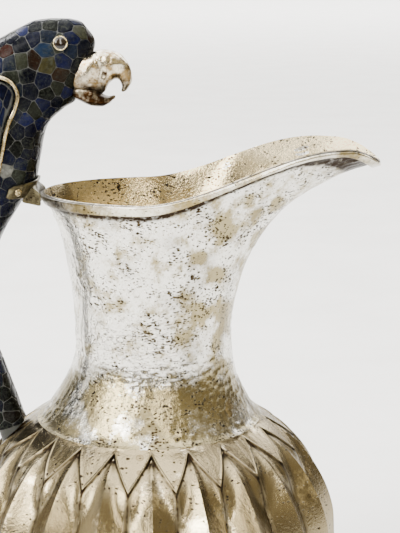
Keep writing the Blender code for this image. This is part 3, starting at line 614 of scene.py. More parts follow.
def cut_polygon(polygon, direction, limit):
    """The part of a flat polygon whose points, along a direction, are under a limit."""
    if not len(polygon):
        return polygon
    depth = polygon @ direction - limit
    after = np.roll(depth, -1)
    kept = []
    for k, point in enumerate(polygon):
        if depth[k] <= 0:
            kept.append(point)
        if (depth[k] <= 0) != (after[k] <= 0):
            share = depth[k] / (depth[k] - after[k])
            kept.append(point + (polygon[(k + 1) % len(polygon)] - point) * share)
    return np.array(kept)


def even_edge(polygon, count):
    """The same outline with count points at even steps round it."""
    closed = np.vstack([polygon, polygon[:1]])
    length = np.concatenate([[0], np.cumsum(np.linalg.norm(np.diff(closed, axis=0), axis=1))])
    at = np.linspace(0, length[-1], count, endpoint=False)
    return np.stack([np.interp(at, length, closed[:, k]) for k in (0, 1)], -1)


def draw_onto(points, samples, normals):
    """Moves points to the skin: each goes to the tangent plane of its nearest sample."""
    distance = np.sum(samples**2, 1)[None, :] - 2 * points @ samples.T
    nearest = np.argmin(distance, 1)
    out = normals[nearest]
    return points - out * np.sum(out * (points - samples[nearest]), 1)[:, None], out


CHIP_EDGE = 20
CHIP_ROOT = -0.0005
CHIP_SINK = 0.0006


def lay_chips(seeds, samples, normals, joint, rng, fence, stretch=None, rise=0.0003, reach=0.016):
    """Points of each chip: four loops and two centres. Also the seeds that got a chip.

    fence is points on the border and the directions out of it, which no chip passes. stretch is a
    direction along which the chips are made longer: the distances along it are shortened before
    the bisectors are found.
    """
    squeeze = np.eye(3)
    if stretch is not None:
        squeeze -= 0.62 * np.outer(stretch, stretch)
    flat = samples @ squeeze
    spots = flat[seeds]
    chips = []
    kept = []
    for number, k in enumerate(seeds):
        out = normals[k]
        a = unit(np.cross(out, [0.3, 0.9, 0.31]))
        b = np.cross(out, a)
        axes = np.stack([a, b])
        offset = spots - spots[number]
        far = np.linalg.norm(offset, axis=1)
        polygon = np.array([(-1, -1), (1, -1), (1, 1), (-1, 1)]) * 0.011
        for other in np.argsort(far)[1:22]:
            if far[other] > reach or normals[seeds[other]] @ out < -0.2:
                continue
            line = axes @ squeeze @ offset[other]
            size = np.linalg.norm(line)
            polygon = cut_polygon(polygon, line / size, (far[other] ** 2 / 2) / size - joint / 2)
        for post, away in zip(*fence):
            line = axes @ away
            if np.linalg.norm(post - samples[k]) < 0.014 and np.linalg.norm(line) > 0.3:
                polygon = cut_polygon(polygon, line, line @ (axes @ (post - samples[k])))
        if len(polygon) < 3 or np.ptp(polygon, 0).min() < 0.0007:
            continue
        edge = even_edge(polygon, CHIP_EDGE)
        edge = edge * 0.90 + (np.roll(edge, 1, 0) + np.roll(edge, -1, 0)) * 0.05
        middle = edge.mean(0)
        tilt = rng.normal(0, 0.016, 2)
        rings = []
        for share, height in ((1.0, CHIP_ROOT), (1.0, rise * 0.45), (0.90, rise * 0.95),
                              (0.5, rise)):
            ring = middle + (edge - middle) * share
            rings.append((ring @ axes + samples[k], height + (ring - middle) @ tilt * (height > 0)))
        for height in (CHIP_ROOT, rise * 1.03):
            rings.append(((middle @ axes + samples[k])[None], np.array([height])))
        points = np.vstack([ring[0] for ring in rings])
        heights = np.concatenate([ring[1] for ring in rings])
        near = np.sum((samples - samples[k]) ** 2, 1) < 0.011**2
        on, out = draw_onto(points, samples[near], normals[near])
        chips.append(on + out * heights[:, None])
        kept.append(k)
    return np.array(chips), np.array(kept)


def chip_faces(count):
    """Faces of each chip: its side, its bevel, its flat, and a fan above and below."""
    ring = np.arange(CHIP_EDGE)
    after = np.roll(ring, -1)
    quads = [
        np.stack([ring + k * CHIP_EDGE, after + k * CHIP_EDGE,
                  after + (k + 1) * CHIP_EDGE, ring + (k + 1) * CHIP_EDGE], -1)
        for k in range(3)
    ]
    under, over = 4 * CHIP_EDGE, 4 * CHIP_EDGE + 1
    fans = [
        np.stack([np.full(CHIP_EDGE, under), after, ring], -1),
        np.stack([ring + 3 * CHIP_EDGE, after + 3 * CHIP_EDGE, np.full(CHIP_EDGE, over)], -1),
    ]
    step = (np.arange(count) * (4 * CHIP_EDGE + 2))[:, None, None]
    quads = (np.vstack(quads)[None] + step).reshape(-1, 4)
    return quads, (np.vstack(fans)[None] + step).reshape(-1, 3)


# %% Sampling the bird's skin
row = np.concatenate([np.linspace(-0.985, 0, 30)[:-1], np.linspace(0, TAIL_END, 420)])[:, None]
column = (turns(150) + 0.011)[None, :]
sample_place = (row + 0 * column).ravel()
samples = bird_skin(row, column).reshape(-1, 3)
sample_out = bird_out(row, column).reshape(-1, 3)
samples -= sample_out * CHIP_SINK
end_turns = turns(24)
end_posts = bird_skin(np.full(24, TAIL_END), end_turns)
end_away = end_posts.mean(0) - bird_skin(np.full(24, TAIL_END - 0.1), end_turns).mean(0)
fence = end_posts, np.tile(unit(end_away), (24, 1))
print("samples on the bird", len(samples))

# %% [markdown]
# The eye needs a chip of its own right under it, so its place on the head is found first: the cut
# that passes through the eye's height is reached by a few small corrections.

# %% Where the eyes are
EYE = np.array([-0.0406, 0.3223])
EYE_RADIUS = 0.0036
EYE_WIRE = 0.0006
CUT_SPACING = 0.0085


def eye_place(side):
    """The eye's centre on the skin and its outward direction."""
    s = 1.0
    for _ in range(12):
        fx, fz, bx, bz = through(BIRD_CUTS, np.array([s]))[0, :4]
        reach = math.hypot(fx - bx, fz - bz) / 2
        tilt = (fz - bz) / 2 / reach
        s += ((fz + bz) / 2 + (EYE[0] - (fx + bx) / 2) * tilt - EYE[1]) / CUT_SPACING
    c = np.array([(EYE[0] - (fx + bx) / 2) / reach])
    at = bird_side(np.array([s]), c, side)[0]
    near = np.argmin(np.linalg.norm(samples - at, axis=1))
    return at, sample_out[near], near


eyes = {"left": eye_place(1.0), "right": eye_place(-1.0)}
print("eye, right side", eyes["right"][0].round(4))

# %% Laying the mosaic
rng = np.random.default_rng(2016)
seeds = spread_seeds(samples, 0.0060, rng, [eyes["left"][2], eyes["right"][2]])
chips, chip_seeds = lay_chips(seeds, samples, sample_out, 0.00026, rng, fence)
print(len(chip_seeds), "chips")

# %% [markdown]
# ## The colours of the chips
#
# Most chips are navy or blue-black, as sodalite and lapis are. A few are green-black, olive, grey
# or rust, and some of them have known places: an olive one under the eye, a brown one behind it,
# and a speckled pale one on the forehead. Each chip keeps its colour as an attribute, and the
# material adds its grain.

# %% Colours
def linear(code):
    """A linear colour from an sRGB hex code, by the standard curve of that colour space."""
    value = np.array([int(code[k : k + 2], 16) / 255 for k in (1, 3, 5)])
    return np.where(value <= 0.04045, value / 12.92, ((value + 0.055) / 1.055) ** 2.4)


CHIP_COLOURS = [
    ("#131738", 0.26), ("#0c0e1e", 0.26), ("#1a2152", 0.12), ("#10120e", 0.12),
    ("#1d1f18", 0.09), ("#23160f", 0.07), ("#33352a", 0.04), ("#141d30", 0.04),
]
SPECIAL_CHIPS = [
    ((-0.0450, -0.0140, 0.3155), "#3f3b22"),
    ((-0.0540, -0.0150, 0.3160), "#24170f"),
    ((-0.0325, -0.0080, 0.3270), "#3f3f30"),
    ((-0.0640, -0.0120, 0.3170), "#3a1c16"),
    ((-0.0420, -0.0140, 0.3060), "#2b1d11"),
    ((-0.0520, -0.0150, 0.2950), "#23251b"),
    ((-0.0500, -0.0150, 0.3220), "#1c2c44"),
    ((-0.0630, -0.0170, 0.2640), "#a8a8a0"),
]


def chip_colours(centres, rng):
    """A colour for each chip, drawn by its share, then changed for the chips with known places."""
    codes = [linear(code) for code, _ in CHIP_COLOURS]
    shares = np.array([share for _, share in CHIP_COLOURS])
    pick = rng.choice(len(codes), len(centres), p=shares / shares.sum())
    colours = np.array(codes)[pick] * rng.uniform(0.16, 0.44, (len(centres), 1))
    for place, code in SPECIAL_CHIPS:
        for side in (1, -1):
            spot = np.array(place) * (1, side, 1)
            colours[np.argmin(np.linalg.norm(centres - spot, axis=1))] = linear(code) * 0.36
    return colours


def tint(piece, colours):
    """Stores one colour per point as an attribute."""
    layer = piece.data.color_attributes.new("stone", "FLOAT_COLOR", "POINT")
    layer.data.foreach_set("color", np.hstack([colours, np.ones((len(colours), 1))]).ravel())


def chips_piece(name, points, colours):
    """One object from the loops of several chips, coloured chip by chip."""
    quads, fans = chip_faces(len(points))
    piece = mesh_piece(name, points.reshape(-1, 3), quads, fans, sharp=24)
    tint(piece, np.repeat(colours, points.shape[1], 0))
    return piece


colours = chip_colours(chips[:, -1], rng)
place = sample_place[chip_seeds]
regions = {"head": (-1, HEAD_END), "breast": (HEAD_END, BREAST_END),
           "tail": (BREAST_END, TAIL_END + 1)}
# Painted shade: the breast and the tail hang below the head, in shadow, so their chips are
# darkened.
REGION_PAINTED_SHADE = {"head": 1.0, "breast": 0.75, "tail": 0.35}
mosaic = {}
for region, (start, stop) in regions.items():
    chosen = (place >= start) & (place < stop)
    shaded = colours[chosen] * REGION_PAINTED_SHADE[region]
    mosaic[region] = chips_piece(region + "_chips", chips[chosen], shaded)

# %% [markdown]
# ## The cement under the chips
#
# The joints show grey cement a little below the stone. It is a skin of its own, closed on the
# inside too, in the same three parts as the solid model.

# %% The cement
SKIN = 0.0018
CEMENT_SINK = 0.0006


def cement(name, start, stop, rows, crown=False):
    """The bird's skin from one cut to another, with an outer and an inner side."""
    at = np.linspace(start, stop, rows)
    about = turns(128)[None, :]
    outside = bird_skin(at[:, None], about) - bird_out(at[:, None], about) * CEMENT_SINK
    lumps = waves(outside, 0.006, 41) * 0.00004
    outside = outside + bird_out(at[:, None], about) * lumps[..., None]
    inside = bird_skin(np.clip(at[::-1, None], 0, None), about, SKIN)
    if not crown:
        return grid_piece(name, np.concatenate([outside, inside]), ring=True, sharp=60)
    inside = inside[at[::-1] >= 0]
    top, under = CROWN - [0, 0, CEMENT_SINK], CROWN - [0, 0, 1.3 * SKIN]
    return grid_piece(name, np.concatenate([outside, inside]), first=top, last=under, sharp=60)


beds = {
    "head": cement("head_cement", -0.95, HEAD_END - 0.01, 64, crown=True),
    "breast": cement("breast_cement", HEAD_END + 0.01, BREAST_END - 0.01, 60),
    "tail": cement("tail_cement", BREAST_END + 0.01, TAIL_END, 60),
}

# %% [markdown]
# ## The wings
#
# Each wing is an oval panel of long dark chips, laid like feathers, inside a silver wire. The panel
# is a low dome on the bird's side. The chips are made as the mosaic's are, but the distances along
# the wing are shortened before the bisectors are found, which makes every chip longer.

# %% The wing panels
WING_CENTRE = (6.9, -0.27)
WING_REACH = (3.1, 0.60)
WING_TOP = 0.0024
WING_BED = WING_TOP - 0.0005
WING_UNDER = 0.0002
WING_COLUMNS = 120
WIRE_RADIUS = 0.0010


def side_out(s, c, side):
    """Outward normal of the bird's side, from small steps along it and across it."""
    e = 1e-3
    along = bird_side(s + e, c, side) - bird_side(s - e, c, side)
    over = bird_side(s, c + e, side) - bird_side(s, c - e, side)
    normal = unit(np.cross(along, over))
    return normal * np.sign(normal[..., 1:2]) * np.asarray(side)[..., None]


def wing_edge(turn):
    """The oval outline of the wing in places along and across the bird."""
    return (WING_CENTRE[0] - WING_REACH[0] * np.cos(turn),
            WING_CENTRE[1] + WING_REACH[1] * np.sin(turn))


def wing_panel(side, share, height):
    """Points of the wing at shares of its outline and a height above the skin."""
    s, c = wing_edge(turns(WING_COLUMNS)[None, :])
    s = WING_CENTRE[0] + (s - WING_CENTRE[0]) * share[:, None]
    c = WING_CENTRE[1] + (c - WING_CENTRE[1]) * share[:, None]
    return bird_side(s, c, side) + side_out(s, c, side) * height[:, None, None]


wings = {}
wing_chips = {}
wing_places = wing_edge(turns(WING_COLUMNS)[None, :])
for tag, side in (("left", 1.0), ("right", -1.0)):
    share = np.concatenate([np.linspace(0.04, 0.96, 26), [0.985, 0.99]])
    height = WING_BED - 0.0003 * ease((share[:-2] - 0.6) / 0.4)
    height = np.concatenate([height, [0.0012, WING_UNDER]])
    under = wing_panel(side, np.linspace(0.97, 0.1, 14), np.full(14, WING_UNDER))
    grid = np.concatenate([wing_panel(side, share, height), under])
    tip_at = np.array([WING_CENTRE[0]]), np.array([WING_CENTRE[1]])
    middle, out = bird_side(*tip_at, side)[0], side_out(*tip_at, side)[0]
    wings[tag] = grid_piece("wing_bed_" + tag, grid, first=middle + out * WING_BED,
                            last=middle + out * WING_UNDER, sharp=50)
    share = np.linspace(0.03, 0.94, 60)
    spots = wing_panel(side, share, np.full(60, WING_TOP - 0.0004))
    outs = side_out(*[WING_CENTRE[k] + (wing_places[k] - WING_CENTRE[k]) * share[:, None]
                      for k in (0, 1)], side)
    spots, outs = spots.reshape(-1, 3), outs.reshape(-1, 3)
    wing_rng = np.random.default_rng(77)
    feather = np.array([0.18, 0.0, 0.98])
    squeezed = spots @ (np.eye(3) - 0.62 * np.outer(feather, feather))
    picks = spread_seeds(squeezed, 0.0031, wing_rng)
    border = wing_panel(side, np.array([0.965]), np.array([WING_TOP - 0.0006]))[0][::2]
    along = np.roll(border, -1, 0) - np.roll(border, 1, 0)
    away = unit(np.cross(along, side_out(*[value[0, ::2] for value in wing_places], side)))
    away *= np.sign(np.sum(away * (border - border.mean(0)), 1, keepdims=True))
    shapes, kept = lay_chips(picks, spots, outs, 0.00035, wing_rng, (border, away), feather,
                             rise=0.00035)
    dark = np.array([linear(code) for code in ("#05060f", "#080a18", "#070907", "#0c0e20")])
    wing_colours = dark[wing_rng.integers(0, 4, len(kept))]
    wing_colours = wing_colours * wing_rng.uniform(0.7, 1.4, (len(kept), 1))
    wing_chips[tag] = chips_piece("wing_chips_" + tag, shapes, wing_colours)
    print("wing", tag, len(kept), "chips")

# %% [markdown]
# ## Wires, knobs and straps
#
# The rest is silver fittings: wires round the wings and the eyes, a beak, a strap round the
# breast, a tab to the rim and two rivets. A wire is a circle carried along a path, and a rivet or
# an eye is a profile turned about a line. Blender's curves could do both, but the same grid
# helper keeps every piece a plain mesh.

# %% Tubes and turned shapes
def tube(name, path, out, radius):
    """A wire along a closed path: circles square to it, turned by the outward directions."""
    along = unit(np.roll(path, -1, 0) - np.roll(path, 1, 0))
    side = unit(np.cross(along, out))
    up = np.cross(side, along)
    about = turns(14)[None, :, None]
    circle = np.cos(about) * up[:, None] + np.sin(about) * side[:, None]
    return grid_piece(name, path[:, None] + circle * np.reshape(radius, (-1, 1, 1)), ring=True)


def turned(name, at, out, profile, count=48, sharp=40):
    """A profile of radius and height, turned about the line that leaves a point outwards."""
    a = unit(np.cross(out, [0.0, 0.0, 1.0]))
    b = np.cross(out, a)
    about = turns(count)[None, :, None]
    circle = np.cos(about) * a + np.sin(about) * b
    profile = np.array(profile)
    grid = at + profile[:, 1, None, None] * out + circle * profile[:, 0, None, None]
    ends = [at + out * height for height in profile[[0, -1], 1]]
    return grid_piece(name, grid, first=ends[0], last=ends[1], sharp=sharp)


def capped(name, grid):
    """A bar from its rings of points, closed by a fan to the middle of each end."""
    return grid_piece(name, grid, first=grid[0].mean(0), last=grid[-1].mean(0), sharp=45)


def on_wing(function, turn, side):
    """A function of the bird's side at turns round the wing's outline."""
    return function(*wing_edge(turn), side)


# %% Wing wires, eyes and rivets
wires = {}
eye_rings = {}
eye_stones = {}
rivets = {}
RIVET_HEAD = 0.0018
RIVET_SEAT = 0.0016
for tag, side in (("left", 1.0), ("right", -1.0)):
    turn = turns(300)
    here, n = on_wing(bird_side, turn, side), on_wing(side_out, turn, side)
    centre = bird_side(np.array([WING_CENTRE[0]]), np.array([WING_CENTRE[1]]), side)
    away = unit(np.cross(on_wing(bird_side, turn + 1e-3, side) - here, n))
    away *= np.sign(np.sum(away * (here - centre), -1, keepdims=True))
    shake = waves(here, 0.011, 51)[:, None] * 0.00018
    path = here + away * (WIRE_RADIUS + 0.0004 + shake) + n * (WIRE_RADIUS * 0.9 + shake)
    thickness = WIRE_RADIUS * (1 + 0.06 * waves(here, 0.007, 52))
    wires[tag] = tube("wing_edging_" + tag, path, n, thickness)

    at, out, _ = eyes[tag]
    loop = turns(72)[:, None]
    a = unit(np.cross(out, [0.0, 0.0, 1.0]))
    ring = np.cos(loop) * a + np.sin(loop) * np.cross(out, a)
    eye_rings[tag] = tube("eye_wire_" + tag, at + ring * (EYE_RADIUS - EYE_WIRE) + out * 0.0009,
                          np.broadcast_to(out, ring.shape), EYE_WIRE * 0.62)
    bulge = np.linspace(0, math.pi / 2, 14)[:-1]
    radius = EYE_RADIUS - 2 * EYE_WIRE + 0.0006
    dome = [(radius, -0.0004)]
    dome += [(radius * math.cos(b), 0.0006 + 0.0012 * math.sin(b)) for b in bulge]
    eye_stones[tag] = turned("eye_cabochon_" + tag, at, out, dome)

    spot = np.array([8.22]), np.array([0.76])
    at, out = bird_side(*spot, side)[0], side_out(*spot, side)[0]
    head = [(0.0010, -0.0055), (0.0010, RIVET_SEAT), (RIVET_HEAD * 0.97, RIVET_SEAT)]
    head += [(RIVET_HEAD * math.cos(b), RIVET_SEAT + 0.0002 + 0.0011 * math.sin(b)) for b in bulge]
    rivets[tag] = turned("rivet_head_" + tag, at, out, head)

# %% [markdown]
# ## The strap and the tab
#
# A flat strap is bent round the breast and riveted through it. A short tab joins the strap to the
# back of the rim, and rises a little towards the bird. The strap is a section with eased corners,
# carried round the breast; the tab is such a section stretched between four corners.

# %% The strap
YOKE_CUT = 8.25
YOKE_TALL = 0.42
YOKE_REACH = 0.60
YOKE_THICK = 0.0012


def breast(s, c, side):
    """The breast's point and outward normal, with the normal made level on the centre line."""
    n = side_out(s, np.minimum(c, 0.995), side)
    n[..., 1] *= ease((1 - c) / 0.004)
    return bird_side(s, np.minimum(c, 1 - 1e-6), side), unit(n)


share = np.linspace(-1, 1, 161)[:, None]
wide, thick = squared(turns(32)[None, :], 7.0)
reach_back = np.cos(math.acos(YOKE_REACH) * share)
tall_cut = YOKE_TALL * (1 - 0.45 * np.abs(share) ** 1.5)
tall_cut = tall_cut * (1 - 0.25 * ease((np.abs(share) - 0.9) / 0.1))
strap_s = YOKE_CUT + tall_cut * wide
strap_side = np.where(share >= 0, 1.0, -1.0) + 0 * wide
strap_at, strap_n = breast(strap_s, reach_back + 0 * wide, strap_side)
strap_height = GAP + YOKE_THICK * (0.5 + 0.5 * thick) - 0.00005
strap_height = strap_height + 0.00010 * waves(strap_at, 0.008, 61) * (thick > 0)
strap_grid = strap_at + strap_n * strap_height[..., None]
strap = capped("breast_strap", strap_grid)

# %% The tab to the rim
TAB_HALF = 0.0108
y = np.linspace(-TAB_HALF, TAB_HALF, 41)
behind = math.pi + np.linspace(-0.5, 0.5, 81)
rim_line = rim_point(behind)
band_x = np.interp(y, rim_line[::-1, 1], rim_line[::-1, 0]) - GAP - BAND_THICK
level_c = np.cos(np.linspace(0, 1.2, 81))
corners = []
for strap_level, rise in ((8.05, 0.0046), (8.75, -0.0036)):
    line = bird_side(np.full(81, strap_level), level_c, 1.0)
    strap_x = np.interp(np.abs(y), line[:, 1], line[:, 0]) + GAP + YOKE_THICK * 0.6
    corners.append(np.stack([strap_x, y, np.full(41, RIM_Z + rise)], -1))
for rise in (-0.0062, 0.0004):
    corners.append(np.stack([band_x + 0.0004, y, np.full(41, RIM_Z + rise)], -1))
u, w = (value[None, :, None] / 2 + 0.5 for value in squared(turns(36), 6.0))
high_strap, low_strap, low_band, high_band = (corner[:, None] for corner in corners)
tab_top = high_strap * (1 - u) + high_band * u
tab_grid = tab_top * w + (low_strap * (1 - u) + low_band * u) * (1 - w)
narrow = 1 - 0.10 * (np.abs(y) / TAB_HALF)[:, None] ** 6
tab_mid = tab_grid.mean(1, keepdims=True)
tab_grid[..., 2] = tab_mid[..., 2] + (tab_grid[..., 2] - tab_mid[..., 2]) * narrow
tab_grid[..., 2] += 0.00016 * waves(tab_grid, 0.007, 63)
tab = capped("rim_tab", tab_grid)

# %% [markdown]
# ## The beak
#
# The beak is hammered silver too: a hooked upper part with a fold where it meets the face, a
# nostril, and a short lower part. Both are lofts through the solid model's cuts. The fold and the
# nostril are pushed in by a distance to a line, which leaves a real groove in the mesh.

# %% The beak's cuts and marks
UPPER_BEAK = np.array([
    (-0.0325, 0.3165, -0.0400, 0.3030, 0.0070),
    (-0.0245, 0.3184, -0.0338, 0.2998, 0.0090),
    (-0.0210, 0.3187, -0.0277, 0.2995, 0.0086),
    (-0.0178, 0.3180, -0.0223, 0.2991, 0.0078),
    (-0.0149, 0.3168, -0.0198, 0.3030, 0.0068),
    (-0.0124, 0.3149, -0.0172, 0.3052, 0.0058),
    (-0.0104, 0.3120, -0.0155, 0.3052, 0.0048),
    (-0.0091, 0.3080, -0.0144, 0.3040, 0.0038),
    (-0.0092, 0.3040, -0.0138, 0.3024, 0.0028),
    (-0.0112, 0.3008, -0.0138, 0.3010, 0.0016),
])
LOWER_BEAK = np.array([
    (-0.0372, 0.3020, -0.0372, 0.2976, 0.0060),
    (-0.0337, 0.3024, -0.0340, 0.2962, 0.0080),
    (-0.0295, 0.3022, -0.0297, 0.2940, 0.0082),
    (-0.0258, 0.3010, -0.0262, 0.2930, 0.0076),
    (-0.0226, 0.2985, -0.0226, 0.2930, 0.0062),
    (-0.0202, 0.2975, -0.0196, 0.2943, 0.0044),
    (-0.0184, 0.2976, -0.0178, 0.2959, 0.0022),
])
FOLD = [(-0.0254, 0.3164), (-0.0243, 0.3141), (-0.0234, 0.3114), (-0.0241, 0.3078),
        (-0.0256, 0.3046)]
CHEEK = [(-0.0245, 0.3062), (-0.0215, 0.3066), (-0.0185, 0.3064)]
NOSTRIL = [(-0.0218, 0.3086), (-0.0206, 0.3089)]


def line_distance(grid, line):
    """Distance in the side view from each point to the nearest part of a broken line."""
    flat = grid[..., [0, 2]]
    nearest = np.full(flat.shape[:-1], 9.0)
    for start, stop in zip(np.array(line[:-1]), np.array(line[1:])):
        step = stop - start
        t = np.clip(((flat - start) @ step) / (step @ step), 0, 1)[..., None]
        nearest = np.minimum(nearest, np.linalg.norm(flat - start - t * step, axis=-1))
    return nearest


def mandible(name, table, tip, marks, seed):
    """A half of the beak: squared ovals through the cuts, rounded off towards the tip.

    Past the last cut the middle goes to the tip while the size falls as a circle's edge does. Each
    mark pushes the sides in by its depth times a bell of the distance to its line.
    """
    last = len(table) - 1
    tip_steps = np.sin(np.linspace(0, math.pi / 2, 12))[1:-1]
    s = np.concatenate([np.linspace(0, last, 110), last + tip_steps])
    ax, az, bx, bz, half = np.moveaxis(through(table, np.clip(s, 0, last)), -1, 0)[..., None]
    beyond = np.clip(s - last, 0, 1)[:, None]
    size = np.sqrt(1 - beyond**2)
    power = np.clip(3.4 - 0.18 * s, 2.0, None)[:, None]
    c, d = (value * size for value in squared(turns(72)[None, :], power))
    x = ((ax + bx) / 2) * (1 - beyond) + tip[0] * beyond + c * (ax - bx) / 2
    z = ((az + bz) / 2) * (1 - beyond) + tip[1] * beyond + c * (az - bz) / 2
    grid = np.stack([x, d * half, z], -1)
    out = unit(grid - grid.mean(1, keepdims=True))
    push = 0.00011 * waves(grid, 0.0062, seed) + 0.00005 * waves(grid, 0.0028, seed + 1)
    flank = ease(np.abs(out[..., 1]) / 0.45)
    for line, depth, width in marks:
        push = push - depth * flank * np.exp(-((line_distance(grid, line) / width) ** 2))
    grid = grid + out * (push * size)[..., None]
    piece = grid_piece(name, grid, first=grid[0].mean(0), last=(tip[0], 0.0, tip[1]), sharp=60)
    return piece, grid, c


upper_beak, upper_grid, upper_c = mandible(
    "beak_hooked", UPPER_BEAK, (-0.0133, 0.2994),
    [(FOLD, 0.00050, 0.00050), (CHEEK, 0.00020, 0.00045), (NOSTRIL, 0.0011, 0.00060)], 71)
lower_beak, lower_grid, lower_c = mandible("beak_under", LOWER_BEAK, (-0.0168, 0.2975), [], 75)

# %% [markdown]
# The beak is bright on top and brown towards the bottom. Inside the mouth and in the nostril it is
# darkest: painted shade for those hollows. All of it is painted on the points.

# %% Where the beak is tarnished and painted with shade
for piece, grid, mouth in ((upper_beak, upper_grid, -upper_c), (lower_beak, lower_grid, lower_c)):
    low_part = ease((0.3115 - grid[..., 2]) / 0.0140)
    # painted shade: the faces inside the mouth, between the two halves, go nearly black
    mouth_painted_shade = ease((mouth - 0.80) / 0.15) * ease((grid[..., 0] + 0.0275) / 0.004)
    # painted shade: the nostril's hollow goes dark as well
    pits = line_distance(grid, NOSTRIL) < 0.0006
    dirt_and_shade = np.clip(0.95 * low_part + 0.18 * waves(grid, 0.006, 77) * low_part, 0, 0.95)
    dirt_and_shade = np.maximum(dirt_and_shade, np.maximum(mouth_painted_shade, pits))
    paint(piece, "tarnish_and_shade", np.append(dirt_and_shade.ravel(), [dirt_and_shade[0, 0], dirt_and_shade[-1, 0]]))

# %% [markdown]
# ## Materials
#
# Every finish is a node tree on the Principled shader. The patterns read Object coordinates, which
# are metres here, so a scale of 1000 divided by a size in millimetres gives features of that size.
# Attributes painted on the points say where tarnish and painted shade, wear and creases are, and
# which faces are inside, where the lining's warm colour is a painted reflection.

# %% Helpers for node trees
def add(tree, kind, inputs, out=0, **settings):
    """Adds a node, fills its inputs with values or links, and gives one of its outputs.

    Inputs are a list in the node's own order, or a dictionary of names or numbers.
    """
    node = tree.nodes.new("ShaderNode" + kind)
    for key, value in settings.items():
        setattr(node, key, value)
    for key, value in inputs.items() if isinstance(inputs, dict) else enumerate(inputs):
        if isinstance(value, bpy.types.NodeSocket):
            tree.links.new(value, node.inputs[key])
        else:
            node.inputs[key].default_value = value
    return node.outputs[out] if node.outputs else None


def rgba(code):
    """A hex colour as the four numbers of a colour socket."""
    return (*linear(code), 1.0)


def blank(name, noises):
    """An empty material, its tree, and its noises by name, with its place on the object.

    Each noise is a size in millimetres, a detail, a roughness and a distortion.
    """
    material = bpy.data.materials.new(name)
    material.use_nodes = True
    tree = material.node_tree
    tree.nodes.clear()
    place = add(tree, "TexCoord", [], "Object")
    made = {"place": place}
    for key, (size, detail, rough, bend) in noises.items():
        made[key] = add(tree, "TexNoise", {"Vector": place, "Scale": 1000 / size, "Detail": detail,
                                           "Roughness": rough, "Distortion": bend})
    print("material", name)
    return material, tree, made


# The Mix node's colours go in and out by number. A Map Range node takes a value, the range it comes
# from and the range it goes to.
FACTOR, COLOUR_A, COLOUR_B = 0, 6, 7
MIX = {"out": 2, "data_type": "RGBA"}
SMOOTH = {"interpolation_type": "SMOOTHSTEP"}
